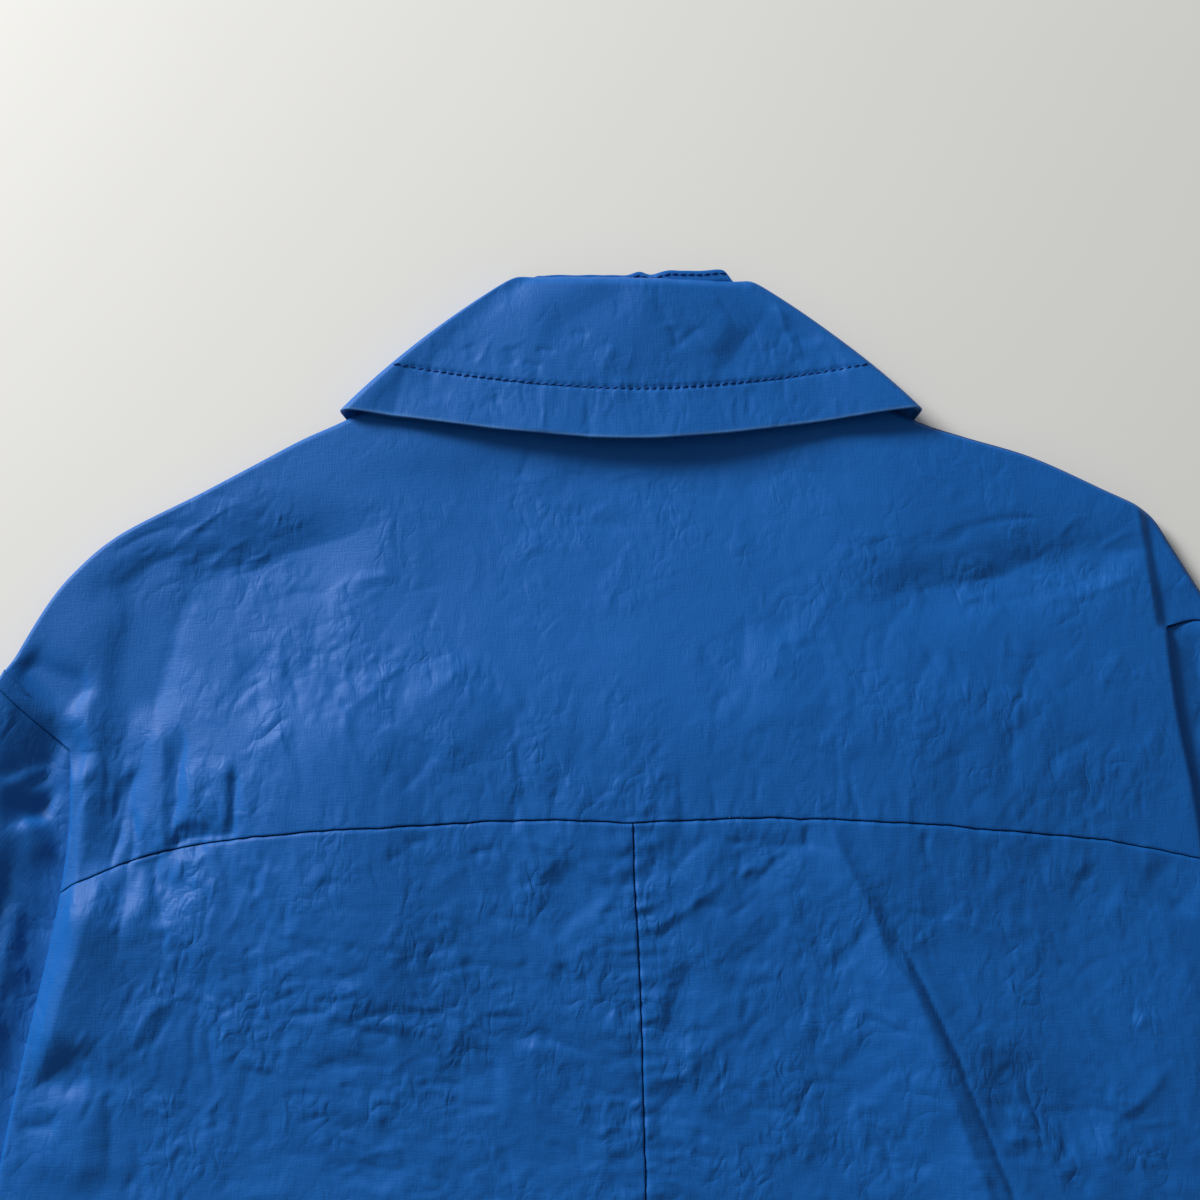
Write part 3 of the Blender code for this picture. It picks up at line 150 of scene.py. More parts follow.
# ---- creases: ends, bulge to the left, half widths left and right, rise (a trough's is negative), and
# ---- sharpness: 0 is a soft round, 1 a crisp line ----
BACK_CREASES = [Crease(*row) for row in (
    # broad swells: over the yoke seam, under the collar
    (-225, 266, -80, 266, 0, 40, 30, 4.2, 0),
    (-235, 292, 245, 292, 0, 64, 125, 10.8, 0),
    (-270, 222, -60, 222, 0, 24, 60, 4.2, 0),
    (110, 150, 270, 172, 0, 50, 45, 4, 0),
    (-130, 418, 130, 418, 0, 18, 30, -3, 0),
    (150, 150, 215, -60, 4, 36, 34, 3.5, 0.2),
    # yoke, left
    (-246, 368, -104, 401, -5, 15, 27, -4, 0.3),
    (-209, 388, -208, 300, 1, 10, 17, -3.8, 0.45),
    (-194, 310, -197, 256, 1, 2.5, 8, -2.4, 0.6),
    (-169, 292, -170, 254, 0, 2.5, 7, -2.2, 0.6),
    (-213, 292, -222, 242, -1, 3, 8, -2.4, 0.5),
    (-202, 255, -166, 262, 1, 7, 4, -2.8, 0.4),
    (-222, 366, -216, 250, 0, 9, 12, -2, 0.2),
    (-236, 340, -235, 196, 0, 9, 7, 2.73, 0.2),
    (-272, 337, -231, 321, -2, 8, 12, -4.2, 0.5),
    (-172, 296, -175, 250, 1, 3.5, 16, 1.78, 0.6),
    (-203, 312, -202, 252, 1, 3.5, 9, 1.16, 0.4),
    (-187, 268, -186, 248, 0, 5, 7, -1.61, 0.5),
    (-220, 270, -223, 248, 0, 3, 6, 0.79, 0.4),
    (-211, 306, -212, 262, -1, 4, 4, -0.75, 0.5),
    (-160, 356, -150, 349, 1, 1.9, 3.17, -0.41, 0.6),
    (-146, 340, -124, 343, -2, 3, 5, -0.65, 0.6),
    (-133, 330, -121, 308, 2, 3, 6, -0.57, 0.6),
    (-112, 335, -100, 342, 1, 2.71, 3.61, -0.51, 0.6),
    (-165, 342, -172, 316, 2, 4, 6, -0.66, 0.4),
    (-126, 320, -100, 305, -2, 4, 6, -0.66, 0.5),
    (-84, 304, -101, 275, 4, 3, 6, -0.65, 0.6),
    (-51, 316, -42, 262, -2, 5, 2.5, -0.79, 0.7),
    (-50, 282, -50, 262, 0, 3, 2, -0.51, 0.7),
    (-96, 330, -60, 292, 0, 18, 16, 1.5, 0),
    # yoke, middle and right
    (-34, 405, 6, 396, -1, 4, 3, -0.43, 0.6),
    (-22, 399, -2, 394, 0, 2, 2, -0.29, 0.7),
    (50, 357, 46, 326, 1, 4, 6, -0.59, 0.5),
    (40, 322, 34, 308, 0, 2, 3, -0.36, 0.6),
    (72, 366, 64, 344, 0, 4, 8, -0.49, 0.4),
    (52, 352, 66, 296, 3, 20, 16, 1.3, 0),
    (6, 289, 14, 300, 0, 2, 3, -0.43, 0.6),
    (92, 362, 236, 391, -2, 14, 16, -4, 0.25),
    (135, 341, 119, 315, -2, 4, 6, -0.66, 0.5),
    (163, 312, 160, 278, 2, 3, 6, -0.51, 0.5),
    (178, 291, 200, 303, 1, 3, 5, -0.57, 0.5),
    (198, 294, 198, 274, -1, 3, 5, -0.51, 0.5),
    (142, 270, 153, 281, 1, 3, 4, -0.51, 0.6),
    (182, 348, 168, 313, 2, 5, 7, -0.51, 0.3),
    (95, 300, 150, 270, 4, 16, 16, -0.9, 0),
    # yoke's lower left and the back's left half, what shows
    (-223, 250, -249, 154, 2, 15, 11, 4.2, 0.3),
    (-221, 255, -245, 151, 0, 62, 12, 3, 0),
    (-226, 174, -249, 154, -1, 7, 4, -1.83, 0.6),
    (-229, 167, -236, 152, 1, 4, 3, -1.08, 0.6),
    (-235, 145, -256, 140, 1, 5, 4, -1.33, 0.4),
    (-227, 162, -227, 113, 0, 12, 18, 2.6, 0.3),
    (-218, 160, -216, 119, 1, 6, 3, -0.86, 0.5),
    (-216, 243, -219, 220, 1, 6, 4, -1.49, 0.5),
    (-208, 243, -213, 222, 1, 5, 4, 1, 0.3),
    (-197, 248, -201, 220, 1, 7, 5, -1.39, 0.4),
    (-188, 251, -191, 230, 1, 5, 3, -1, 0.5),
    (-180, 253, -183, 240, 0, 3.47, 1.73, -0.62, 0.6),
    (-217, 246, -173, 257, 1, 3, 6, -1.22, 0.4),
    (-194, 265, -194, 254, 0, 2.86, 1.2, -0.68, 0.6),
    (-212, 258, -218, 244, 1, 3.96, 2.38, -0.68, 0.5),
    (-154, 189, -136, 196, 1, 2, 4, -0.86, 0.7),
    (-135, 192, -113, 194, -1, 2, 4, -0.79, 0.7),
    (-147, 185, -124, 187, 1, 2, 4, -0.86, 0.7),
    (-127, 185, -112, 180, 0, 2.5, 4, -1.08, 0.6),
    (-117, 180, -96, 176, 1, 2.5, 5, -1.29, 0.6),
    (-120, 184, -98, 189, -1, 2.5, 4, -0.94, 0.6),
    (-148, 172, -140, 182, 1, 1.66, 3.33, -0.6, 0.6),
    (-164, 186, -156, 176, 1, 3.33, 1.66, -0.47, 0.6),
    (-97, 182, -81, 168, -1, 2, 5, -0.72, 0.5),
    (-98, 189, -74, 187, -1, 1.6, 4, -1, 0.8),
    (-67, 186, -43, 184, 0, 1.6, 4, -0.94, 0.8),
    (-41, 183, -17, 169, -2, 2, 4, -0.65, 0.6),
    (-92, 194, -87, 193, 0, 1.2, 1.5, -0.43, 0.7),
    (-150, 218, -141, 219, 0, 2.35, 1.88, 0.54, 0.6),
    (-132, 217, -124, 212, 1, 1.47, 2.45, -0.53, 0.7),
    (-120, 210, -114, 216, 0, 1.32, 2.21, -0.48, 0.7),
    (-163, 210, -154, 214, 1, 1.54, 2.56, -0.55, 0.7),
    (-151, 205, -142, 211, 1, 1.87, 2.81, -0.61, 0.6),
    (-131, 200, -109, 204, 0, 2, 4, -0.57, 0.6),
    (-178, 189, -173, 153, -1, 4, 2, -0.79, 0.6),
    (-172, 196, -168, 185, 0, 3, 2, -0.65, 0.6),
    (-180, 187, -183, 176, 0, 2.96, 1.98, -0.56, 0.6),
    (-163, 164, -147, 162, -1, 2, 3, -0.72, 0.6),
    (-131, 164, -121, 168, 1, 1.87, 2.8, -0.53, 0.6),
    (-122, 158, -111, 157, 0, 1.72, 2.87, -0.62, 0.7),
    (-88, 156, -73, 150, 0, 2, 4, -0.79, 0.6),
    (-72, 150, -56, 150, 0, 1.6, 3, -0.57, 0.7),
    (-76, 144, -71, 148, 0, 1.2, 1.66, -0.39, 0.6),
    (-61, 168, -55, 161, 0, 2.4, 1.44, -0.46, 0.6),
    (-37, 205, -14, 197, 0, 3, 5, -1, 0.5),
    (-32, 167, -25, 155, 1, 3.61, 1.81, -0.65, 0.5),
    (-36, 154, -22, 144, 0, 2, 4, -0.65, 0.5),
    (-43, 231, -27, 215, -1, 7, 3, -0.86, 0.4),
    (-34, 250, -14, 224, -2, 11, 8, -1.9, 0.1),
    (-70, 253, -56, 254, 0, 2, 3, -0.65, 0.6),
    (-104, 248, -96, 253, 0, 1.96, 2.45, -0.65, 0.4),
    (-97, 256, -84, 258, 0, 2.14, 3.42, -0.68, 0.5),
    (-90, 238, -86, 235, 0, 1.2, 1.5, -0.34, 0.7),
    (-73, 207, -60, 206, 0, 1.5, 2.5, -0.65, 0.7),
    (-163, 247, -158, 233, 1, 3.87, 1.55, -0.56, 0.5),
    (-139, 246, -134, 253, 0, 1.49, 2.24, -0.48, 0.6),
    (-134, 240, -118, 241, 0, 2, 4, -0.72, 0.6),
    (-158, 253, -149, 244, 0, 3, 2, -0.51, 0.6),
    (-83, 160, -50, 163, 3, 12, 14, -1.1, 0),
    (-172, 225, -152, 233, 2, 12, 14, -1, 0),
    (-213, 182, -178, 212, 3, 20, 26, -1.4, 0),
    (-190, 151, -174, 144, 0, 2, 4, -0.57, 0.6),
    (-181, 139, -170, 142, 0, 1.78, 2.96, -0.56, 0.6),
    (-194, 129, -191, 140, 1, 1.48, 2.96, -0.42, 0.5),
    (-153, 149, -150, 132, 1, 4.49, 2.24, -0.58, 0.4),
    (-147, 152, -129, 154, 1, 2, 4, -0.57, 0.6),
    (-138, 144, -127, 146, 0, 1.74, 2.91, -0.49, 0.6),
    (-115, 128, -102, 124, 0, 1.77, 3.54, -0.5, 0.6),
    (-128, 123, -86, 122, 3, 3, 6, -0.65, 0.4),
    (-82, 128, -66, 120, 2, 2.33, 4.65, -0.5, 0.4),
    (-37, 135, -19, 130, 1, 2.5, 5, -0.65, 0.4),
    (-56, 135, -51, 119, 1, 4.36, 2.62, -0.5, 0.4),
    # the back's right half, what shows
    (79, 273, 132, 162, -1, 5, 26, 3.4, 0.7),
    (108, 226, 170, 50, -4, 17, 30, 7.4, 0.5),
    (100, 240, 165, 78, 4, 2.4, 1.6, -1.3, 0.8),
    (119, 191, 135, 160, 0, 3, 9, 0.86, 0.7),
    (142, 172, 200, 132, 1, 10, 13, -3.2, 0.25),
    (169, 134, 187, 112, 0, 6, 2.5, -1.08, 0.6),
    (149, 135, 170, 136, 1, 3, 3, 0.72, 0.5),
    (222, 167, 197, 142, 1, 3, 5, 0.79, 0.4),
    (92, 203, 124, 170, 1, 5, 2, -0.86, 0.7),
    (91, 187, 118, 178, -1, 2, 5, -0.86, 0.7),
    (109, 186, 126, 167, 0, 4, 2, -0.72, 0.7),
    (23, 262, 4, 234, -2, 9, 5, -1.17, 0.3),
    (48, 237, 63, 253, 0, 2, 4, -0.79, 0.6),
    (8, 213, 26, 227, 1, 3, 5, -0.79, 0.5),
    (24, 231, 39, 230, 0, 2.44, 3.91, -0.7, 0.5),
    (37, 259, 55, 259, -2, 3, 4, -0.94, 0.5),
    (44, 254, 46, 264, 0, 1.77, 2.65, -0.57, 0.6),
    (73, 265, 74, 253, 0, 3.13, 1.96, -0.62, 0.5),
    (123, 262, 123, 248, 0, 3, 1.5, -0.79, 0.8),
    (152, 260, 148, 236, 1, 5, 4, -0.66, 0.4),
    (172, 258, 175, 241, 0, 4.49, 2.99, -0.49, 0.3),
    (187, 245, 205, 231, 0, 9, 9, -0.9, 0.1),
    (217, 248, 238, 227, 0, 10, 5, -1.31, 0.3),
    (228, 234, 240, 226, 0, 1.87, 3.75, -0.59, 0.5),
    (28, 211, 12, 168, -2, 10, 6, -1.64, 0.3),
    (22, 161, 8, 139, -1, 9, 6, -1.72, 0.3),
    (19, 176, 35, 180, 2, 1.43, 4.29, -0.61, 0.5),
    (39, 178, 48, 176, -1, 1.5, 2.4, -0.47, 0.5),
    (53, 176, 59, 169, 0, 2.4, 1.6, -0.52, 0.6),
    (43, 158, 57, 149, 0, 2, 4, -0.57, 0.6),
    (74, 182, 82, 175, 0, 1.38, 2.76, -0.35, 0.6),
    (2, 199, 7, 198, 0, 1.2, 1.5, -0.39, 0.7),
    (-11, 155, 3, 152, 0, 1.6, 3.5, -0.79, 0.7),
    (-11, 149, 0, 150, 0, 1.53, 2.87, -0.62, 0.7),
    (-12, 140, 2, 137, -1, 1.68, 3.72, -0.74, 0.7),
    (-13, 168, -9, 163, 0, 1.66, 1.2, -0.39, 0.6),
    (-11, 130, 1, 128, 0, 1.6, 3, -0.65, 0.7),
    (-11, 124, 4, 114, -1, 2, 4, -0.79, 0.6),
    (-15, 226, -3, 229, 1, 2.01, 3.22, -0.92, 0.6),
    (-15, 247, -7, 246, -1, 1.4, 2.1, -0.5, 0.6),
    (-12, 217, -6, 209, 0, 2.6, 1.73, -0.49, 0.5),
    (-11, 207, -5, 200, 0, 2.4, 1.6, -0.41, 0.5),
    (4, 153, 11, 154, 0, 1.2, 1.84, -0.4, 0.6),
    (4, 135, 13, 140, 0, 1.34, 2.68, -0.58, 0.6),
    (109, 134, 122, 122, 0, 2, 4, -0.57, 0.5),
    (54, 125, 68, 132, 0, 2.44, 4.07, -0.46, 0.4),
    (42, 134, 55, 127, 0, 2.3, 3.84, -0.44, 0.4),
    (129, 149, 131, 124, 0, 8, 6, -0.74, 0.1),
    (73, 225, 93, 205, 2, 14, 12, -0.8, 0),
    (80, 205, 93, 212, 1, 2.88, 3.84, -0.4, 0.2),
    (133, 205, 138, 201, 0, 1.2, 1.66, -0.34, 0.6),
    (160, 220, 155, 207, 0, 3.62, 3.02, -0.27, 0.2),
    (27, 170, 40, 157, 2, 10, 12, -1, 0),
    (85, 173, 101, 151, 2, 16, 14, -0.8, 0),
    (170, 150, 205, -60, 4, 18, 22, 1.8, 0),
    (-120, 120, -165, -120, 6, 20, 22, 2.2, 0),
    # the hidden part, below
    (-200, 40, -235, -300, -8, 18, 20, -2.4, 0.2),
    (60, 20, 95, -330, 6, 20, 22, -1.8, 0.1),
    (150, -80, 205, -440, -8, 20, 24, 2.2, 0.1),
    (-60, -60, -100, -400, 5, 18, 20, 1.9, 0.1),
    (235, 20, 255, -330, 4, 16, 18, -2.2, 0.2),
    (-170, -200, -250, -400, 3, 16, 14, 2, 0.2),
    (-235, 80, -205, -60, 4, 5, 12, 1.8, 0.5),
    (225, 95, 190, -40, -4, 12, 5, 1.7, 0.5),
    (120, 60, 60, -40, 5, 5, 12, -1.4, 0.4),
    (-90, 60, -30, 10, -4, 4, 9, -1.2, 0.5),
    (-20, -90, -70, -150, 3, 4, 10, -1.2, 0.5),
    (30, -140, 110, -180, 6, 5, 12, -1.3, 0.5),
    (-130, -230, -60, -280, -5, 5, 10, -1.3, 0.5),
    (160, -250, 90, -330, 5, 10, 5, 1.4, 0.5),
    (-280, -330, -200, -380, 6, 6, 12, -1.3, 0.4),
    (250, -380, 180, -430, -4, 10, 6, -1.3, 0.4),
)]
SLEEVE_CREASES = [Crease(*row) for row in (
    (-300, 215, -345, 120, 5, 14, 16, 2, 0.1),
    (-330, 40, -420, 20, 4, 8, 13, -1.6, 0.4),
    (-350, -40, -455, -70, -5, 12, 16, 1.9, 0.2),
    (-370, -110, -450, -160, 3, 7, 12, -1.3, 0.4),
    (-238, 299, -274, 284, -1, 4, 8, -3.2, 0.6),
    (-243, 290, -268, 262, 2, 4, 7, -2.8, 0.6),
    (-246, 292, -262, 280, 0, 3, 4, -2.55, 0.7),
    (-248, 268, -270, 280, 2, 6, 9, -3, 0.5),
    (-246, 250, -262, 272, 1, 5, 5, 2.55, 0.5),
    (-262, 262, -286, 180, 3, 7, 6, -3.3, 0.4),
    (-276, 268, -300, 200, 2, 7, 6, 3, 0.4),
    (-262, 236, -272, 160, 1, 5, 5, 1.5, 0.3),
    (-268, 170, -300, 110, 3, 9, 9, -2.25, 0.3),
    (-290, 130, -330, 60, -3, 6, 10, 1.4, 0.4),
    (-380, 120, -440, 10, 5, 10, 7, -1.2, 0.3),
    (300, 180, 345, 95, -5, 14, 16, 1.9, 0.1),
    (330, 60, 410, 20, 4, 12, 8, 1.7, 0.4),
    (345, -50, 455, -40, -4, 8, 14, -1.5, 0.3),
    (380, -120, 480, -110, 3, 12, 9, 1.7, 0.3),
    (247, 352, 262, 300, -3, 9, 7, -1.8, 0.3),
    (244, 300, 262, 282, 0, 6, 6, -1.6, 0.3),
    (250, 290, 290, 220, 3, 6, 8, 1.3, 0.4),
    (256, 240, 300, 150, -3, 7, 7, -1.3, 0.3),
    (280, 140, 320, 70, 2, 6, 10, 1.2, 0.4),
    (390, 110, 440, 0, 5, 10, 8, -1.3, 0.3),
)]
# ---- places where small crinkles gather: middle, radii, mean direction in degrees and its spread, how
# ---- many, their mean half width, and their rise as a share of it ----
BACK_PATCHES = [Patch(*row) for row in (
    # yoke
    (0, 335, 255, 100, 90, 35, 434, 1.5, 0.05),
    (-130, 345, 52, 34, 20, 60, 117, 1.6, 0.08),
    (-205, 276, 34, 26, 88, 18, 74, 2, 0.10),
    (-150, 298, 60, 42, 95, 24, 167, 2, 0.07),
    (-86, 300, 44, 40, 110, 45, 93, 1.6, 0.09),
    (-8, 292, 46, 28, 80, 50, 51, 1.6, 0.07),
    (90, 312, 60, 46, 70, 50, 117, 1.8, 0.07),
    (175, 305, 56, 46, 75, 50, 117, 1.8, 0.08),
    (160, 380, 70, 22, 8, 20, 56, 2, 0.09),
    (-190, 395, 44, 20, 15, 30, 60, 2, 0.11),
    (0, 400, 90, 26, 175, 30, 51, 1.6, 0.06),
    (0, 272, 240, 9, 90, 22, 216, 1.2, 0.11),
    # back, what shows
    (0, 252, 245, 9, 90, 25, 216, 1.2, 0.11),
    (0, 165, 260, 100, 120, 90, 934, 1.6, 0.07),
    (-185, 236, 46, 20, 82, 22, 83, 1.9, 0.13),
    (-110, 190, 72, 42, 165, 45, 379, 1.5, 0.09),
    (-40, 220, 42, 40, 140, 50, 150, 1.6, 0.11),
    (-50, 140, 80, 36, 160, 40, 283, 1.6, 0.11),
    (-190, 160, 44, 50, 80, 40, 184, 1.7, 0.11),
    (50, 200, 46, 56, 60, 50, 216, 1.7, 0.11),
    (60, 130, 60, 34, 150, 50, 184, 1.6, 0.11),
    (170, 200, 70, 56, 110, 60, 216, 1.7, 0.08),
    (190, 125, 56, 32, 150, 50, 184, 1.7, 0.13),
    (4, 180, 14, 80, 15, 30, 150, 1.2, 0.14),
    # back, below
    (6, 20, 14, 90, 170, 30, 100, 1.6, 0.13),
    (0, 0, 260, 100, 150, 80, 600, 2.5, 0.11),
    (0, -180, 280, 130, 20, 80, 600, 2.9, 0.11),
    (0, -400, 310, 110, 100, 80, 500, 2.9, 0.11),
)]
SLEEVE_PATCHES = [Patch(*row) for row in (
    (-290, 220, 50, 80, 120, 30, 150, 2.4, 0.18),
    (-350, 90, 80, 100, 125, 60, 200, 3, 0.17),
    (-430, -80, 90, 110, 20, 70, 200, 3, 0.17),
    (280, 240, 50, 90, 60, 30, 150, 2.4, 0.17),
    (350, 90, 80, 100, 55, 60, 200, 3, 0.17),
    (430, -80, 90, 110, 160, 70, 200, 3, 0.17),
)]


# ---- plan curves ----
def smooth(value):
    value = np.clip(value, 0.0, 1.0)
    return value * value * (3.0 - 2.0 * value)


def plan(points):
    return np.array([complex(*p) for p in points])


def through(points, steps=6):
    """Points of a smooth curve that passes through the given ones."""
    pts = plan(points)
    ends = np.concatenate([[2 * pts[0] - pts[1]], pts, [2 * pts[-1] - pts[-2]]])
    t = np.arange(steps) / steps
    runs = []
    for p0, p1, p2, p3 in zip(ends, ends[1:], ends[2:], ends[3:]):
        runs.append(0.5 * (2 * p1 + (p2 - p0) * t + (2 * p0 - 5 * p1 + 4 * p2 - p3) * t ** 2
                           + (3 * p1 - p0 - 3 * p2 + p3) * t ** 3))
    return np.concatenate(runs + [pts[-1:]])


def segment_distance(p, a, b):
    ab = b - a
    t = np.clip(((p - a) * np.conj(ab)).real / abs(ab) ** 2, 0.0, 1.0)
    return abs(p - a - t * ab)


class Curve:
    """A plan curve read by its share of arc length, moved sideways by shift (to its left if positive)."""

    def __init__(self, *runs, shift=0.0):
        pts = np.concatenate([runs[0]] + [run[1:] for run in runs[1:]])
        if shift:
            along = np.gradient(pts)
            pts = pts + shift * 1j * along / abs(along)
        self.pts = pts
        self.reached = np.concatenate([[0.0], np.cumsum(abs(np.diff(pts)))])
        self.length = self.reached[-1]

    def at(self, share):
        return np.interp(np.asarray(share) * self.length, self.reached, self.pts)

    def distance(self, p):
        best = np.full(p.shape, 1e9)
        for a, b in zip(self.pts, self.pts[1:]):
            best = np.minimum(best, segment_distance(p, a, b))
        return best


def joined(first, second, join, share):
    """Two curves read as one, the first up to the share where they join."""
    share = np.asarray(share)
    return np.where(share <= join, first.at(np.minimum(share / join, 1)),
                    second.at(np.maximum((share - join) / (1 - join), 0)))


def patch(low, high, start, end, us, vs):
    """Points between four borders, in rows: low and high run with us, start and end with vs."""
    u, v = us[None, :], vs[:, None]
    corners = (low[0] * (1 - u) * (1 - v) + low[-1] * u * (1 - v) + high[0] * (1 - u) * v + high[-1] * u * v)
    return low * (1 - v) + high * v + start[:, None] * (1 - u) + end[:, None] * u - corners


EDGE_STEPS = (0.0, 0.35, 0.8, 1.4, 2.1, 3.0)    # a grid's first lines, from its edge, mm


def shares(length, step, low_edge=True, high_edge=True):
    """Shares of a length a step apart, closer together at its edges."""
    stops = np.array(EDGE_STEPS)
    low = stops if low_edge else stops[:1]
    high = length - (stops if high_edge else stops[:1])[::-1]
    count = max(2, int(round((high[0] - low[-1]) / step)) + 1)
    inner = np.linspace(low[-1], high[0], count)[1:-1]
    return np.concatenate([low, inner, high]) / length


def two_shares(join, first, second):
    """Shares of two lengths as shares of both together; the first takes up join."""
    return np.concatenate([first[:-1] * join, join + (1 - join) * second])


def round_up(distance, radius=FOLD_R):
    """Height share of a quarter round at this distance from its fold."""
    return np.sqrt(np.clip(1.0 - (1.0 - np.minimum(distance / radius, 1.0)) ** 2, 0.0, 1.0))


def turned(side):
    return 1 if side == "left" else -1


def on_side(p, side):
    return p.real < 0 if side == "left" else p.real >= 0


OUTER = {s: Curve(through(SHOULDER[s]), through(SLEEVE_TOP[s])) for s in SIDES}
SHOULDER_LINE = {s: Curve(through(SHOULDER[s])[::-1]) for s in SIDES}
LIP_LINE = {s: Curve(through(LIP[s])) for s in SIDES}
SIDE_LINE = {s: Curve(through(SIDE[s])) for s in SIDES}
UNDER_LINE = {s: Curve(through(SLEEVE_UNDER[s])) for s in SIDES}
YOKE_LINE = Curve(through(YOKE_SEAM["left"]), through(YOKE_SEAM["right"])[::-1])
CENTRE_LINE = Curve(through(CENTRE_SEAM))
ARMHOLE_SHOWN = {s: Curve(through(SEAM_SHOWN[s])) for s in SIDES}


def lip_x(side, y):
    """The body's fold over the sleeve at this height."""
    pts = LIP_LINE[side].pts[::-1]
    return np.interp(y, pts.imag, pts.real)


# ---- relief ----
LATTICE = np.random.default_rng(11).permutation(256)
GRADIENTS = np.exp(2j * np.pi * np.random.default_rng(12).random(256))


def noise(p, scale, seed=0):
    """Smooth gradient noise, about -1 to 1, with lumps about a scale across."""
    q = p / scale + complex(17.31 * seed + 3.7, 9.17 * seed + 8.1)
    x0, y0 = np.floor(q.real), np.floor(q.imag)
    fx, fy = q.real - x0, q.imag - y0
    wx = fx * fx * fx * (fx * (fx * 6 - 15) + 10)
    wy = fy * fy * fy * (fy * (fy * 6 - 15) + 10)
    ix, iy = x0.astype(int), y0.astype(int)
    total = 0.0
    for dx, sx in ((0, 1 - wx), (1, wx)):
        for dy, sy in ((0, 1 - wy), (1, wy)):
            g = GRADIENTS[LATTICE[(LATTICE[(ix + dx) & 255] + iy + dy) & 255]]
            total = total + sx * sy * (g.real * (fx - dx) + g.imag * (fy - dy))
    return 1.45 * total


def crease_profile(offset, left, right, sharp):
    """A rounded trough's share of its rise at a signed offset, wider on one side than the other."""
    s = np.where(offset > 0, offset / left, -offset / right)
    return (1 - sharp) * np.exp(-s * s) + sharp * np.exp(-1.6 * s)


WANDER = 0.45           # how far a crease's line strays, as a share of its half width
WANDER_MOST = 1.5       # and at most, mm
WANDER_FROM = 14.0      # shorter creases don't stray
FADE_IN = 0.3           # share of its length over which a crease rises at each end
END_WIDTH = 0.45        # its width there, as a share of its full width


def crease_rise(p, c):
    """The rise that one crease adds at points p; its line wanders a little to each side."""
    start, along = complex(c.x0, c.y0), complex(c.x1 - c.x0, c.y1 - c.y0)
    length = abs(along)
    local = (p - start) / along * length
    t = local.real / length
    line = 4 * c.bend * t * (1 - t)
    if length > WANDER_FROM:
        narrow = min(c.left, c.right)
        line = line + min(WANDER * narrow, WANDER_MOST) * noise(p, 12.0 + narrow, 5)
    ends = smooth(t / FADE_IN) * smooth((1 - t) / FADE_IN)
    full = END_WIDTH + (1 - END_WIDTH) * ends
    return c.rise * ends * crease_profile((local.imag - line) / full, c.left, c.right, c.sharp)


def crinkles(patches, seed):
    """Small creases at chance places in the patches, each an ordinary crease."""
    rng = np.random.default_rng(seed)
    made = []
    for area in patches:
        for _ in range(area.count):
            out, angle = math.sqrt(rng.random()), rng.random() * 2 * math.pi
            x = area.x + area.rx * out * math.cos(angle)
            middle = complex(x, area.y + area.ry * out * math.sin(angle))
            way = math.radians(area.angle + area.spread * rng.normal() * 0.6)
            width = area.width * math.exp(0.45 * rng.normal())
            length = width * rng.uniform(4.0, 11.0)
            half = 0.5 * length * complex(math.cos(way), math.sin(way))
            narrow = rng.uniform(0.3, 1.0)
            left, right = (width, width * narrow) if rng.random() < 0.5 else (width * narrow, width)
            rise = area.slope * width * rng.uniform(0.4, 1.5) * (1 if rng.random() < 0.4 else -1)
            a, b = middle - half, middle + half
            made.append(Crease(a.real, a.imag, b.real, b.imag, length * rng.uniform(-0.16, 0.16), left, right,
                               rise, rng.uniform(0.4, 1.0)))
    return made


class Cells:
    """Points sorted into square cells, so that a crease is worked out only near itself."""

    SIZE = 18.0

    def __init__(self, p):
        self.points = p.ravel()
        ids = self.key(np.floor(self.points.real / self.SIZE), np.floor(self.points.imag / self.SIZE))
        order = np.argsort(ids, kind="stable")
        found, starts = np.unique(ids[order], return_index=True)
        self.runs = dict(zip(found.tolist(), np.split(order, starts[1:])))

    def key(self, column, row):
        return (column * 1000 + row).astype(int)

    def near(self, c):
        """Indices of the points in the cells that a crease can reach."""
        reach = 2.6 * max(c.left, c.right) + abs(c.bend)
        columns = np.arange(math.floor((min(c.x0, c.x1) - reach) / self.SIZE),
                            math.floor((max(c.x0, c.x1) + reach) / self.SIZE) + 1)
        rows = np.arange(math.floor((min(c.y0, c.y1) - reach) / self.SIZE),
                         math.floor((max(c.y0, c.y1) + reach) / self.SIZE) + 1)
        keys = self.key(columns[:, None], rows[None, :]).ravel().tolist()
        runs = [self.runs[k] for k in keys if k in self.runs]
        return np.concatenate(runs) if runs else np.zeros(0, int)


FACETS = ((34.0, 0.50, 6), (18.0, 0.22, 7), (9.0, 0.14, 8), (4.6, 0.07, 9))     # scale, height, seed


def crumple(p, amount, fine):
    """Soft swells, and the faint facets of cloth that has been folded before."""
    warp = p + 7.0 * noise(p, 34.0, 1) + 7.0j * noise(p, 34.0, 2)
    swell = 0.9 * noise(p, 95.0, 3) + 0.55 * noise(warp, 46.0, 4)
    facets = 0.0
    for scale, height, seed in FACETS:
        n = noise(warp, scale, seed)
        facets = facets + height * (np.sqrt(n * n + 0.003) - 0.3)
    return amount * swell + fine * facets


CRISP_LEAST = 0.3       # where no patch is near, in the part that the close-up shows,
CRISP_BELOW = 0.45      # and this much more below it
CRISP_MOST = 1.2
CRISP_GAIN = 6.0        # for a patch's slope
WIDE_PATCH = 100.0      # wider patches don't count


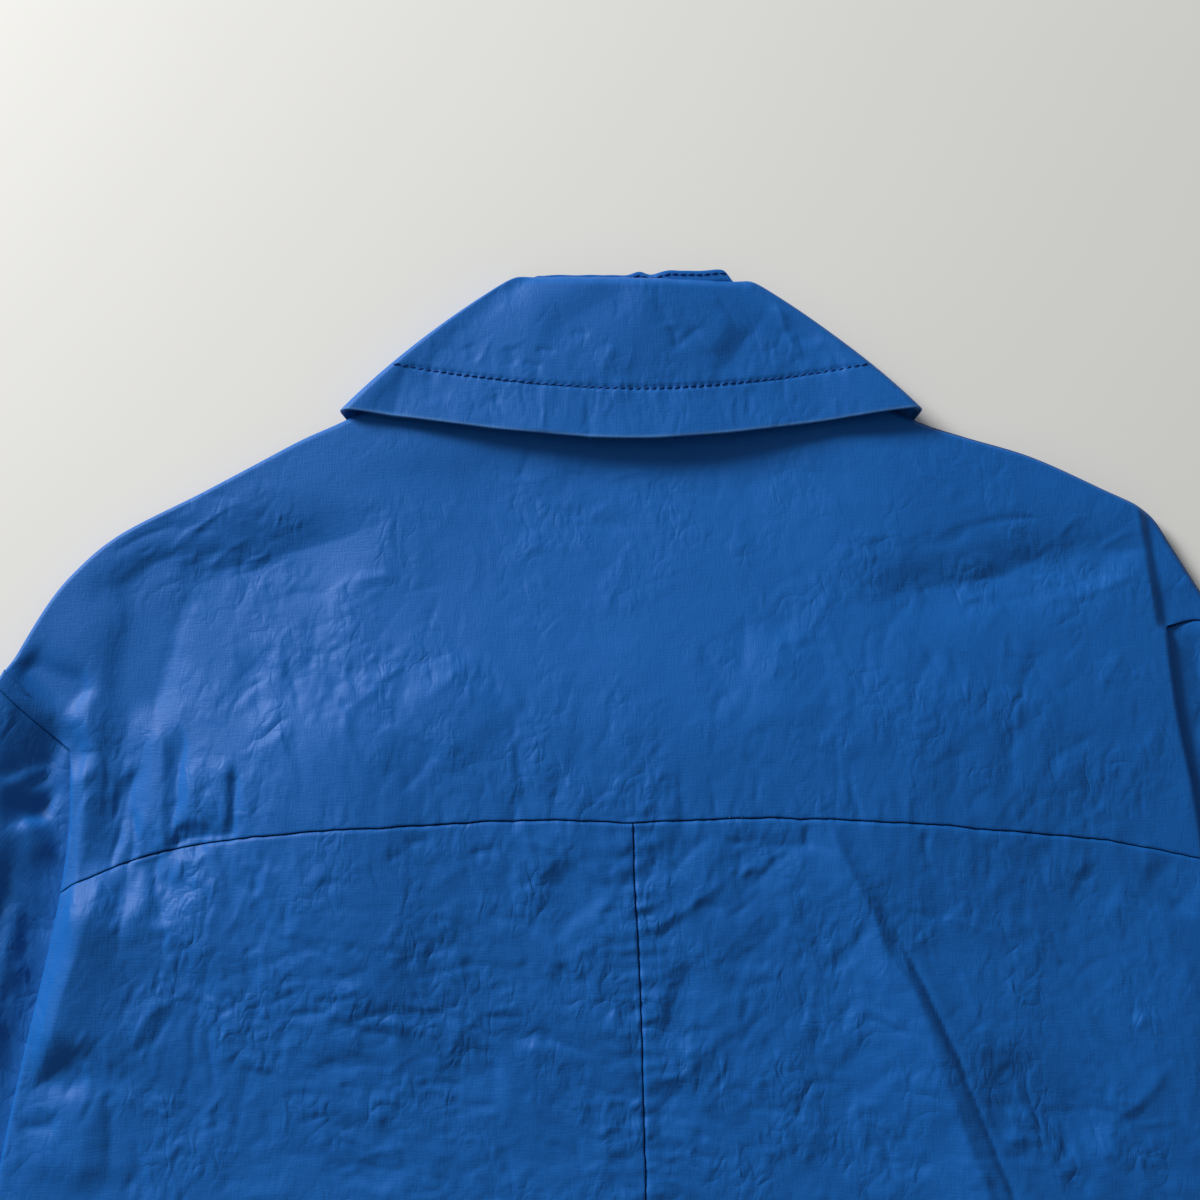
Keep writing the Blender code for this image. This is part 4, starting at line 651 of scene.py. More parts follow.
def crispness(p, patches):
    """How finely the cloth is crinkled at each place, the measure of the bump that the mesh can't hold."""
    total = CRISP_LEAST + CRISP_BELOW * smooth((100 - p.imag) / 60)
    for area in patches:
        if area.rx < WIDE_PATCH:
            away = ((p.real - area.x) / area.rx) ** 2 + ((p.imag - area.y) / area.ry) ** 2
            total = total + CRISP_GAIN * area.slope * np.exp(-away)
    return np.minimum(total, CRISP_MOST)


def relief(p, creases, amount, fine):
    """The rise of all creases on top of the crumple."""
    total = np.array(crumple(p, amount, fine)).ravel()
    cells = Cells(p)
    for c in creases:
        near = cells.near(c)
        if len(near):
            total[near] += crease_rise(cells.points[near], c)
    return total.reshape(p.shape)


BACK_ALL = BACK_CREASES + crinkles(BACK_PATCHES, 21)
SLEEVE_ALL = SLEEVE_CREASES + crinkles(SLEEVE_PATCHES, 22)


SINK_UNDER = (0.65, 0.9)    # depth and width of the dip, mm
SINK_OVER = (0.25, 0.5)


def seam_sink(p, seam, under):
    """Cloth that passes under at a seam dips beside it; the cloth on top only rounds off."""
    depth, width = SINK_UNDER if under else SINK_OVER
    return -depth * np.exp(-(seam.distance(p) / width) ** 2)


def seam_wander(p):
    """How far the yoke and centre seams stray sideways from their drawn lines."""
    across = 0.34 * noise(p.real + 0j, 12.0, 61) + 0.2 * noise(p.real + 0j, 4.3, 62)
    along = 0.3 * noise(p.imag + 9j, 13.0, 63) + 0.16 * noise(p.imag + 9j, 4.1, 64)
    near_yoke = np.exp(-(YOKE_LINE.distance(p) / 9.0) ** 2)
    near_centre = np.exp(-(CENTRE_LINE.distance(p) / 9.0) ** 2) * smooth((258 - p.imag) / 8)
    return 1j * across * near_yoke + along * near_centre


def seam_pucker(p, seam, height, pitch, reach, seed):
    """Ripples that run up to a seam and die away beside it."""
    away = seam.distance(p)
    squeezed = complex(0, 1) * p.imag + p.real * 0.25 if seam is CENTRE_LINE else p.real + 0.25j * p.imag
    return height * noise(squeezed, pitch, seed) * np.exp(-(away / reach) ** 1.3)


# ---- heights of the outer faces ----
SLEEVE_SWELL = {"left": 10.0, "right": 0.5}     # the sleeves' rise beside the body's fold,
SWELL_BLEND = 45.0      # reached over this width
TUCK_BLEND = 20.0       # and their rise from under the fold
CUFF_BLEND = 50.0       # length over which a sleeve comes down to its cuff
HEM_BLEND = 70.0        # the back rises from the hem over this length
HEM_CALM = 100.0        # and isn't held up by what lies under it below this
FLY_SIDE_FALL = 5.2     # the back falls this much beside the fly's stack,
FLY_SIDE_BLEND = 40.0
FLY_TOP_FALL = 3.2      # and this much above it
FLY_TOP_BLEND = 60.0
HEAD_BLEND = 30.0       # it falls off the tucked sleeve heads over this width


def sleeve_height(p, side):
    """A sleeve's outer face, flat where it is tucked under the body's fold."""
    lip = LIP_LINE[side]
    beside_lip = (lip.pts[-1].imag < p.imag) & (p.imag < lip.pts[0].imag)
    under = beside_lip & (abs(p.real) < abs(lip_x(side, p.imag)))
    away = lip.distance(p)
    height = TUCKED_Z + (SLEEVE_Z - TUCKED_Z) * smooth((away - 2) / TUCK_BLEND)
    height = height + SLEEVE_SWELL[side] * smooth(away / SWELL_BLEND)
    height = height + relief(p, SLEEVE_ALL, 0.9, 1.0) * smooth((away - 1) / 10)
    cuff = segment_distance(p, complex(*SLEEVE_TOP[side][-1]), complex(*SLEEVE_UNDER[side][-1]))
    height = CUFF_Z + (height - CUFF_Z) * smooth(cuff / CUFF_BLEND)
    return np.where(under, TUCKED_Z, height)


def back_floor(p):
    """The least height of the back over what lies under it."""
    over_fly = OVER_FLY_Z - FLY_SIDE_FALL * smooth((abs(p.real) - FLY_REACH) / FLY_SIDE_BLEND)
    over_fly = over_fly - FLY_TOP_FALL * smooth((p.imag - FLY_REACH_Y) / FLY_TOP_BLEND)
    inside = smooth((SLEEVE_HEAD_X - abs(p.real)) / HEAD_BLEND)
    over_sleeve = OVER_SLEEVE_Z - (OVER_SLEEVE_Z - BACK_LOW) * inside
    over_sleeve = np.where(p.imag > SLEEVE_HEAD_Y, over_sleeve, BACK_LOW)
    return np.maximum(np.maximum(BACK_LOW, over_fly), over_sleeve)


def soft_max(a, b, width=1.2):
    """The larger of two heights, with a rounded step between them."""
    t = np.clip(0.5 + 0.5 * (a - b) / width, 0, 1)
    return b + (a - b) * t + 0.5 * width * t * (1 - t)


LOFT = 1.0              # the cloth lies this much fuller than its solid
HIGHEST = 22.4          # and is rounded off below this height,
CAP_ROUND = 4.0         # from this much below it


def towards_neck(p):
    """The change in the back's height as it comes to the neck seam."""
    return (NECK_Z - BACK_Z) * smooth((p.imag - NECK_BLEND_Y) / NECK_BLEND)


def body_height(p, folds):
    """The back before it turns down at its folds."""
    height = BACK_Z + LOFT + folds
    height = height + towards_neck(p)
    from_hem = smooth((p.imag - HEM_Y) / HEM_BLEND)
    over_fly = (BACK_Z - HEM_Z) * 0.3 * smooth((80 - abs(p.real)) / 50)
    height = HEM_Z + over_fly + (height - HEM_Z - over_fly) * from_hem
    height = np.where(p.imag > HEM_Y + HEM_CALM, soft_max(height, back_floor(p)), height)
    for side in SIDES:
        mine = on_side(p, side)
        top, foot, width = SETTLE[side]
        top, foot = complex(*top), complex(*foot)
        if side == "left":
            share = 1 - smooth(segment_distance(p, top, foot) / width)
        else:
            across = top.real - foot.real
            inward = foot.real + across * (p.imag - foot.imag) / (top.imag - foot.imag) - p.real
            share = (1 - smooth(inward / width)) * smooth((p.imag - foot.imag + 4) / 6)
        lift = (LIP_Z + WALL + 0.1 - TUCKED_Z) * (1 - smooth(abs(p - foot) / 16))
        settled = sleeve_height(p[mine], side) + lift[mine] if mine.any() else 0
        height[mine] = height[mine] + (settled - height[mine]) * share[mine]
    return -soft_max(-height, np.full(p.shape, -HIGHEST), CAP_ROUND)


def back_height(p, folds):
    """The outer face of the yoke and back, turned down at the body's folds."""
    split_z = FOLD_Z + BACK_SPLIT + NECK_SPLIT * (1 - smooth((abs(p.real) - 110) / 60))
    height = body_height(p, folds)
    result = np.zeros(p.shape)
    for side in SIDES:
        mine = on_side(p, side)
        if not mine.any():
            continue
        q, split, h = p[mine], split_z[mine], height[mine]
        full = split + (h - split) * round_up(OUTER[side].distance(q))
        beside = q.imag < LIP[side][0][1] - 0.5
        over_sleeve = smooth((q.imag - LIP[side][-1][1] + 24) / 20)
        border = split + (LIP_Z + DROP - split) * over_sleeve
        fold = np.minimum(LIP_LINE[side].distance(q), SIDE_LINE[side].distance(q))
        folded = border + (full - border) * round_up(fold)
        result[mine] = np.where(beside, folded, full)
    return result


YOKE_FOOT_Y = 264.0     # below this the cloth is more crumpled,
CALM_X = -50.0          # and to the left of this its facets are fainter
EDGE_BLEND = 9.0        # the relief fades over this width at the outline


def back_relief(p):
    """All the relief of the yoke and back, faded out towards the outline."""
    below = smooth((YOKE_FOOT_Y - p.imag) / 26)
    to_left = smooth((CALM_X - p.real) / 90)
    folds = relief(p, BACK_ALL, 0.62 + 0.12 * below, 0.66 - 0.2 * to_left + 0.5 * below)
    folds = folds + seam_pucker(p, CENTRE_LINE, 0.8, 5.2, 11.0, 31)
    folds = folds + seam_pucker(p, YOKE_LINE, 0.5, 8.0, 8.0, 32)
    edge = np.full(p.shape, 1e9)
    for side in SIDES:
        for line in (OUTER[side], LIP_LINE[side], SIDE_LINE[side]):
            edge = np.minimum(edge, line.distance(p))
    return folds * (0.2 + 0.8 * smooth(edge / EDGE_BLEND))


def back_seams(p, piece):
    """How far the cloth of the yoke, or of the left or right back, dips at its seams."""
    on_yoke = piece == "yoke"
    sink = seam_sink(p, YOKE_LINE, not on_yoke)
    if on_yoke:
        for side in SIDES:
            sink = np.minimum(sink, seam_sink(p, ARMHOLE_SHOWN[side], False))
    else:
        sink = np.minimum(sink, seam_sink(p, CENTRE_LINE, piece == "right"))
    return sink


# ---- meshes ----
def placed(name, data):
    obj = bpy.data.objects.new(name, data)
    bpy.context.scene.collection.objects.link(obj)
    return obj


def grid_mesh(name, points, look, uv, wrap=False, flip=False, worn_and_sheen=None, crisp=None):
    """Quads on an array of points in rows and columns, in mm; wrap joins the last column to the first."""
    rows, columns = points.shape[:2]
    ids = np.arange(rows * columns).reshape(rows, columns)
    right = np.roll(ids, -1, axis=1)
    if not wrap:
        ids, right = ids[:, :-1], right[:, :-1]
    points = np.maximum(points, (-np.inf, -np.inf, LEAST_Z))
    quads = np.stack([ids[:-1], right[:-1], right[1:], ids[1:]], axis=-1).reshape(-1, 4)
    if flip:
        quads = quads[:, ::-1]
    mesh = bpy.data.meshes.new(name)
    mesh.from_pydata((points.reshape(-1, 3) * MM).tolist(), [], quads.tolist())
    mesh.shade_smooth()
    layer = mesh.uv_layers.new(name="cloth")
    corner = np.zeros(len(mesh.loops), np.int32)
    mesh.loops.foreach_get("vertex_index", corner)
    layer.data.foreach_set("uv", (uv.reshape(-1, 2)[corner] * MM).astype(np.float32).ravel())
    # each point holds its share of the lighter edge blue (wear and a painted highlight) and how crisp the
    # cloth is
    for label, values, plain in (("worn_and_sheen", worn_and_sheen, 0.0), ("crisp", crisp, 0.4)):
        values = np.full(rows * columns, plain) if values is None else values.ravel()
        attribute = mesh.attributes.new(label, "FLOAT", "POINT")
        attribute.data.foreach_set("value", values.astype(np.float32))
    mesh.materials.append(look)
    obj = placed(name, mesh)
    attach(obj, "root")
    return obj


def heights_to_points(p, z):
    return np.stack([p.real, p.imag, z], axis=-1)


def turned_in(points, before, after, axis):
    """The grid with its first and last row (axis 0) or column (axis 1) turned in: a list of (in, z) steps
    for each end, inward along the grid and down in z, both in mm."""
    work = points if axis == 0 else points.transpose(1, 0, 2)
    inward_first = work[3] - work[0]
    inward_last = work[-4] - work[-1]
    blocks = []
    for steps, edge, inward in ((before, work[0], inward_first), (after, work[-1], inward_last)):
        flat = inward * np.array([1.0, 1.0, 0.0])
        flat = flat / np.maximum(np.linalg.norm(flat, axis=-1, keepdims=True), 1e-6)
        blocks.append([edge + flat * step_in + np.array([0, 0, step_z]) for step_in, step_z in steps])
    rows = [*reversed(blocks[0]), *work, *blocks[1]]
    work = np.stack(rows)
    return work if axis == 0 else work.transpose(1, 0, 2)


def grown(values, edges):
    """A grid of values made as large as its panel with edges turned in, by repeating its borders."""
    first_rows, last_rows, first_columns, last_columns = [len(steps) for steps in edges]
    pad = [(first_rows, last_rows), (first_columns, last_columns)] + [(0, 0)] * (values.ndim - 2)
    return np.pad(values, pad, mode="edge")


# ---- turned edges, as steps inward and in z, mm ----
BUTT = [(0.1, -0.9), (1.2, -1.6)]                   # a seam's allowance, turned down and in
ROLL = [(0.2, -0.5), (1.6, -0.75), (7.0, -0.75)]    # a fold, turned under
HEM = [(0.15, -0.45), (0.9, -0.8), (12.0, -0.85)]   # a hem, turned up inside
FACED = [(0.15, 0.4), (1.5, 0.7), (8.0, 0.7)]       # a front's edge, turned up inside
STRIP = [(0.1, -0.4), (0.5, -0.75), (6.0, -0.8)]    # the fly strip's fold
CUFF_TURN = 0.7                                     # a cuff's edge, up or down towards its fold
STAND_TOP = [(0.1, -0.35), (0.5, -0.8)]             # the upper edge of the collar's stand


def finish_panel(name, p, z, look, edges, flip=False, crisp=None):
    """The mesh of a panel from plan points and heights, with its four edges turned in as named."""
    points = turned_in(heights_to_points(p, z), edges[0], edges[1], 0)
    points = turned_in(points, edges[2], edges[3], 1)
    uv = grown(np.stack([p.real, p.imag], axis=-1), edges)
    if crisp is not None:
        crisp = grown(crisp, edges)
    return grid_mesh(name, points, look, uv, flip=flip, crisp=crisp)


# ---- spacing of the grids, and the lengths over which they are spread, mm ----
YOKE_STEP = 1.04
BACK_STEP = 1.16
SLEEVE_STEP = 1.6
SLEEVE_LONG_STEP = 1.9
UNDER_STEP = 6.0
HIDDEN_STEP = 3.2
FRONT_LONG_STEP = 4.0
FLY_STEPS = (4.0, 5.0)
FALL_STEP = 0.86
FALL_COLUMNS = 290      # across the back
WING_COLUMNS = 26
TURN_COLUMNS = 31
STAND_COLUMNS = 200
YOKE_HALF = 244.0
YOKE_FOLD = 120.0       # the yoke's side border along the body's fold,
YOKE_HEAD = 72.0        # and along the armhole seam
BACK_HALF = 250.0
BACK_SHOWN = 175.0      # height of the back inside the close-up,
BACK_HIDDEN = 606.0     # and outside it
SLEEVE_HALF = 190.0
SLEEVE_LONG = 560.0
FRONT_SIDE = 580.0
FRONT_ARMHOLE = 270.0


def body_fold(side, upper):
    """The body's fold above or below the yoke seam, top first."""
    seam_y = YOKE_SEAM[side][0][1]
    pts = LIP_LINE[side].pts
    if upper:
        return np.append(pts[pts.imag > seam_y + 1], lip_x(side, seam_y + SEAM) + 1j * (seam_y + SEAM))
    return np.insert(pts[pts.imag < seam_y - 1], 0, lip_x(side, seam_y - SEAM) + 1j * (seam_y - SEAM))


def neck_back(x, shift=0.0):
    return x + 1j * (NECK_SIDE_Y - NECK_BACK_DROP * (1 - (x / NECK_HALF) ** 2) + shift)


def make_yoke(look):
    half = shares(YOKE_HALF, YOKE_STEP, True, False)
    us = np.concatenate([half / 2, 1 - half[-2::-1] / 2])
    rise = two_shares(LIP_SHARE, shares(YOKE_FOLD, YOKE_STEP, True, False),
                      shares(YOKE_HEAD, YOKE_STEP, False, True))
    seams = {s: Curve(through(YOKE_SEAM[s]), shift=SEAM * turned(s)) for s in SIDES}
    low = np.concatenate([seams["left"].at(half), seams["right"].at(half[-2::-1])])
    tops = {}
    past = np.clip((half - SHOULDER_SHARE) / (1 - SHOULDER_SHARE), 0, 1)
    for side in SIDES:
        on_shoulder = SHOULDER_LINE[side].at(np.minimum(half / SHOULDER_SHARE, 1))
        on_neck = neck_back(-turned(side) * NECK_HALF * (1 - past), -SEAM)
        tops[side] = np.where(half <= SHOULDER_SHARE, on_shoulder, on_neck)
    high = np.concatenate([tops["left"], tops["right"][-2::-1]])
    borders = {}
    for side in SIDES:
        fold = Curve(body_fold(side, True)[::-1])
        seam = Curve(through(SEAM_SHOWN[side])[::-1], shift=-SEAM * turned(side))
        borders[side] = joined(fold, seam, LIP_SHARE, rise)
    p = patch(low, high, borders["left"], borders["right"], us, rise)
    z = back_height(p, back_relief(p)) + back_seams(p, "yoke")
    return finish_panel("shell_yoke", p + seam_wander(p), z, look, (BUTT, ROLL, ROLL, ROLL),
                        crisp=crispness(p, BACK_PATCHES))


def hem_curve(corner, middle_x):
    """The hem from a side seam's foot to the middle of the coat, with the rise that it has at the side."""
    k = np.arange(9) / 8
    return Curve(corner.real + (middle_x - corner.real) * k + 1j * (HEM_Y + HEM_RISE * (1 - k) ** 2))


def make_back(side, look):
    sign = turned(side)
    across = shares(BACK_HALF, BACK_STEP)
    seam = Curve(through(YOKE_SEAM[side]), shift=-SEAM * sign)
    outline = Curve(np.concatenate([body_fold(side, False), SIDE_LINE[side].pts[1:]])[::-1])
    hem = hem_curve(SIDE_LINE[side].pts[-1], 0.0)
    middle = CENTRE_LINE.pts[::-1].copy()
    middle[-1] = middle[-1].real + 1j * seam.pts[-1].imag
    centre = Curve(middle, shift=SEAM * sign)
    vs = two_shares(BACK_HIDDEN / (BACK_HIDDEN + BACK_SHOWN), shares(BACK_HIDDEN, HIDDEN_STEP, True, False),
                    shares(BACK_SHOWN, BACK_STEP, False, True))
    p = patch(hem.at(across), seam.at(across), outline.at(vs), centre.at(vs), across, vs)
    z = back_height(p, back_relief(p)) + back_seams(p, side)
    return finish_panel("shell_back_" + side, p + seam_wander(p), z, look, (HEM, BUTT, ROLL, BUTT),
                        flip=(side == "right"), crisp=1.15 * crispness(p, BACK_PATCHES))


def make_sleeve(side, look):
    """A flattened tube: its upper layer, then its lower one in coarser steps."""
    sign = turned(side)
    outer = Curve(through(SLEEVE_TOP[side]))
    inner = UNDER_LINE[side]
    cuff = Curve(plan([SLEEVE_TOP[side][-1], SLEEVE_UNDER[side][-1]]))
    shown = Curve(through(SEAM_SHOWN[side]), shift=-SEAM * sign)
    tuck = Curve(through(TUCK[side]))
    head_low = Curve(np.append(through(ARMHOLE_FRONT[side])[:-1], inner.pts[0]), shift=-SEAM * sign)
    across = shares(SLEEVE_HALF, SLEEVE_STEP)
    across_low = shares(SLEEVE_HALF, UNDER_STEP)
    along = shares(SLEEVE_LONG, SLEEVE_LONG_STEP)
    head = joined(shown, tuck, HEAD_SHOWN, across)
    sides = outer.at(along), inner.at(along)
    top = patch(head, cuff.at(across), *sides, across, along)
    low = patch(head_low.at(across_low), cuff.at(across_low), *sides, across_low, along)
    fold, fold_low = [round_up(np.minimum(outer.distance(q), inner.distance(q))) for q in (top, low)]
    z_top = FOLD_Z + (sleeve_height(top, side) - FOLD_Z) * fold + seam_sink(top, ARMHOLE_SHOWN[side], True)
    z_low = CLEAR + (FOLD_Z - CLEAR) * (1 - fold_low)
    below = heights_to_points(low, z_low)[:, -2:0:-1]
    points = np.concatenate([heights_to_points(top, z_top), below], axis=1)
    way = np.exp(-1j * np.angle(cuff.at(0.5) - head_low.at(0.5)))
    turned_plan = np.concatenate([top, low[:, -2:0:-1]], axis=1) * way
    uv = np.stack([turned_plan.real, turned_plan.imag], axis=-1)
    head_edge = points[:1] + np.array([0, 0, -0.9]) * (points[:1, :, 2:] > 4.0)
    towards_fold = np.where(points[-1:, :, 2:] > FOLD_Z, -1, 1)
    cuff_z = points[-1:, :, 2:] + CUFF_TURN * towards_fold
    cuff_in = points[-6:-5] * np.array([1, 1, 0]) + np.array([0, 0, 1]) * cuff_z
    points = np.concatenate([head_edge, points, cuff_in])
    uv = np.pad(uv, ((1, 1), (0, 0), (0, 0)), mode="edge")
    return grid_mesh("shell_sleeve_" + side, points, look, uv, wrap=True, flip=(side == "left"),
                     crisp=np.full(points.shape[:2], 0.9))


# ---- fronts ----
WING_ROLL_END = complex(-5.0, 419.0)
WING_POINT = complex(-58.0, 372.0)
FALL_FOLD_TOP = complex(-56.0, 514.0)
FALL_FOLD_LOW = complex(-131.5, 451.5)
FALL_FOLD_BULGE = 3.2


def fall_fold(v):
    """Fold of the fall between back and front, from the roll at v = 0 to its edge at v = 1."""
    across = FALL_FOLD_LOW - FALL_FOLD_TOP
    outward = -1j * across / abs(across)
    return FALL_FOLD_TOP + across * v + outward * FALL_FOLD_BULGE * 4 * v * (1 - v)


WING = Curve(np.concatenate([[WING_ROLL_END, WING_POINT], fall_fold(np.linspace(1, 0, 7)), [WING_ROLL_END]]))


def inside_wing(p):
    crossings = np.zeros(p.shape, int)
    for a, b in zip(WING.pts, WING.pts[1:]):
        if a.imag != b.imag:
            at_x = a.real + (p.imag - a.imag) / (b.imag - a.imag) * (b.real - a.real)
            crossings += ((a.imag > p.imag) != (b.imag > p.imag)) & (at_x > p.real)
    return crossings % 2 == 1


def wing_lift(p):
    left = -abs(p.real) + 1j * p.imag
    near = 1 - smooth((WING.distance(left) - WING_REACH) / (WING_FADE - WING_REACH))
    return WING_LIFT * np.where(inside_wing(left), 1.0, near)


def front_height(p, side):
    """The lower face of a front, which lies on the collar's wings and, at the right, on the fly's stack."""
    base = wing_lift(p)
    if side == "right":
        over_left = WALL + GAP + 0.1
        stack = RIGHT_FRONT_Z + (WING_LIFT + over_left - RIGHT_FRONT_Z) * smooth((p.imag - 335) / 40)
        stack = stack + (over_left - stack) * smooth((-385 - p.imag) / 50)
        base = np.maximum(base, stack * (1 - smooth((p.real - 50) / 28)))
    curl = round_up(OUTER[side].distance(p))
    seam_foot = ARMHOLE_FRONT[side][-1][1]
    side_curl = 1 - round_up(SIDE_LINE[side].distance(p))
    below = np.minimum(curl, 1 - side_curl * smooth((seam_foot - p.imag) / 20))
    curl = np.where(p.imag < seam_foot, below, curl)
    split_z = FOLD_Z - FRONT_SPLIT
    return split_z + (base - split_z) * curl


def neck_front(x, shift=0.0):
    """The front neck seam of the left half and its overlap, moved sideways by shift."""
    height = NECK_SIDE_Y - NECK_FRONT_Y
    back = np.maximum(-x, 0.0) / NECK_HALF
    y = np.where(x < 0, NECK_FRONT_Y + height * back ** NECK_CURVE,
                 NECK_FRONT_Y - NECK_OVERLAP_DROP * x / OVERLAP)
    slope = np.where(x < 0, -height * NECK_CURVE * back ** (NECK_CURVE - 1) / NECK_HALF,
                     -NECK_OVERLAP_DROP / OVERLAP)
    across = -slope + 1j
    return x + 1j * y + across / abs(across) * shift


def make_front(side, look):
    sign = turned(side)

    def flip(points):
        return sign * points.real + 1j * points.imag

    armhole = Curve(flip(through(ARMHOLE_FRONT[side]))[::-1], shift=-SEAM)
    side_seam = flip(SIDE_LINE[side].pts)[::-1]
    side_seam = side_seam[side_seam.imag < ARMHOLE_FRONT[side][-1][1] - 4]
    lower = Curve(np.append(side_seam, armhole.pts[0]))
    width = OVERLAP - armhole.pts[0].real
    us = shares(width, HIDDEN_STEP)
    neck_width = OVERLAP + NECK_HALF
    side_width = (width - neck_width) / width
    shoulder = Curve(flip(SHOULDER_LINE[side].pts))
    on_neck = neck_front(-NECK_HALF + neck_width * np.clip((us - side_width) / (1 - side_width), 0, 1), -SEAM)
    top = np.where(us <= side_width, shoulder.at(np.minimum(us / side_width, 1)), on_neck)
    hem = hem_curve(side_seam[0], OVERLAP)
    edge = Curve(np.array([OVERLAP + 1j * HEM_Y, top[-1]]))
    vs = two_shares(SIDE_SHARE, shares(FRONT_SIDE, FRONT_LONG_STEP, True, False),
                    shares(FRONT_ARMHOLE, FRONT_LONG_STEP, False, True))
    outline = joined(lower, armhole, SIDE_SHARE, vs)
    p = flip(patch(hem.at(us), top, outline, edge.at(vs), us, vs))
    lifted = 0.9 * smooth(noise(p, 70.0, 71) + 0.4) + 0.6 * smooth(2 * abs(noise(p, 38.0, 72)) - 0.5)
    z = np.maximum(front_height(p, side), CLEAR + lifted)
    return finish_panel("shell_front_" + side, p, z, look, (FACED,) * 4, flip=(side == "left"))


def make_fly(look):
    """The hidden strip that carries the buttons, on the face of its solid."""
    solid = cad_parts["fly_strip"]
    corners = np.array([solid.matrix_world @ v.co for v in solid.data.vertices]) / MM
    low, high = corners.min(axis=0), corners.max(axis=0)
    rows = np.unique(np.round(corners[:, 1]))
    tops = np.array([corners[abs(corners[:, 1] - row) < 1.0, 2].max() for row in rows])
    us, vs = shares(high[0] - low[0], FLY_STEPS[0]), shares(high[1] - low[1], FLY_STEPS[1])
    p = (low[0] + us * (high[0] - low[0]))[None, :] + 1j * (low[1] + vs * (high[1] - low[1]))[:, None]
    z = np.interp(p.imag, rows, tops) - 0.15 + 0.12 * noise(p, 24.0, 81)
    return finish_panel("shell_fly_strip", p, z, look, (STRIP,) * 4)


# ---- collar ----
COLLAR_CROWN = 7.0      # the fall is this much fuller at the centre back
FALL_TURN_Z = 12.0      # height of its folds between back and front
FALL_TURN_R = 6.6
FALL_ROLL_Z = 7.1       # height of the roll, where the fall turns over the stand
FALL_ROLL_R = 7.0
FALL_EDGE_GAP = 3.0     # air under the fall's edge
ROLL_LEAN = 1.1         # the roll stands this much higher than drawn at the middle, and not at the right
RIM = ((0.25, 0.15), (0.42, 0.5), (0.3, 0.9), (-0.15, 1.1), (-0.6, 1.1), (-0.72, 1.4), (-0.55, 1.7),
       (-1.3, 2.0))     # section of the fall's edge: out and inwards from its outer face, two plies
FALL_THICK = 2.0
UNDER_SHARE = 0.62      # share of the fall's depth at which its under ply stops


def edge_y(x):
    return COLLAR_EDGE_Y + COLLAR_EDGE_RISE * (abs(x) / COLLAR_EDGE_SPAN) ** 1.8


def fall_back_point(s, v):
    """Plan point of the fall's back: s runs from -1 to 1 across, v from the roll to the edge."""
    fold = fall_fold(v)
    half = abs(fold.real) - FALL_TURN_R * 0.8
    side_edge = COLLAR_EDGE_SPAN * 1.12
    roll = ROLL_Y + ROLL_LEAN * (1 - s) + 0.45 * noise(s * 55.0 + 5j, 9.0, 43)
    level = roll + (edge_y(s * side_edge) - roll) * v
    lift = fold.imag - 1.0 - (ROLL_Y + (edge_y(side_edge) - ROLL_Y) * v)
    return s * half + 1j * (level + lift * s ** 4)


def plain_body_height(p):
    """The yoke's height under the collar."""
    return np.maximum(BACK_Z + towards_neck(p), back_floor(p))


def end_lift(s, v):
    """The fall's ends curl up off the shoulders, the right one more."""
    left = 0.8 * smooth((-s - 0.80) / 0.18)
    right = 3.4 * smooth((s - 0.66) / 0.26)
    return (left + right) * smooth((v - 0.35) / 0.65)


def fall_height(s, v):
    """Height of the fall's back: over the stand, then down towards the yoke."""
    crest = COLLAR_CREST_Z * np.sin(math.pi * np.minimum(1.0, 0.40 + 0.54 * v)) ** 0.35
    rest = plain_body_height(fall_back_point(s, v)) + GAP + WALL + FALL_EDGE_GAP
    low = smooth((v - 0.12) / 0.74)
    z = np.maximum(crest * (1 - low) + rest * low, NECK_Z + 2.6)
    z = z + COLLAR_CROWN * (1 - s * s) * (1 - 0.42 * low)
    roll = round_up(v * (ROLL_Y - COLLAR_EDGE_Y), FALL_ROLL_R)
    z = FALL_ROLL_Z + (z - FALL_ROLL_Z) * roll
    return z + (FALL_TURN_Z - z) * smooth((abs(s) - 0.8) / 0.2) * roll + end_lift(s, v)


STITCH_IN = 23.0        # the collar's topstitching lies this far from its edge
STITCH_PITCH = 3.65
STITCH_LONG = 3.3
STITCH_R = 0.30
COLLAR_CREASES = [Crease(*row) for row in (
    (-42, 479, 8, 509, 3, 11, 13, -1.4, 0.1),
    (37, 466, 56, 490, -2, 6, 9, -1.1, 0.3),
    (32, 476, 46, 496, -2, 8, 5, 0.62, 0.2),
    (65, 502, 71, 486, 1, 3, 4, 0.62, 0.6),
    (70, 488, 81, 474, -1, 3, 4, 0.56, 0.6),
    (76, 502, 85, 480, 1, 5, 9, -0.81, 0.3),
    (-56, 481, -53, 469, 1, 3, 4, -0.56, 0.5),
    (-75, 482, -70, 472, 1, 4, 5, -0.43, 0.4),
    (-44, 477.5, -33, 477, 0.5, 2, 2.5, -0.5, 0.6),
    (-50, 471.5, -39, 470, 0.5, 2, 2.5, -0.5, 0.6),
    (-28, 486, -18, 485, 0, 2, 3, -0.37, 0.5),
    (17, 490, 21, 476, 1, 3, 3.5, -0.68, 0.6),
    (20, 477, 33, 489, 1, 2.5, 3.5, -0.56, 0.5),
    (-13, 467, -6, 480, 1, 3, 3, 0.5, 0.4),
    (13, 500, 18, 488, 0, 3, 4, -0.43, 0.4),
    (88, 484, 93, 464, 1, 3, 4, -0.5, 0.5),
    (-92, 470, -84, 452, 1, 4, 5, -0.37, 0.3),
)]
COLLAR_PATCHES = [Patch(*row) for row in (
    (-60, 474, 34, 12, 60, 50, 24, 1.4, 0.08),
    (0, 486, 62, 20, 100, 60, 34, 1.5, 0.06),
    (60, 480, 44, 14, 70, 40, 24, 1.5, 0.08),
    (0, 452, 118, 9, 90, 14, 110, 1.3, 0.10),
)]


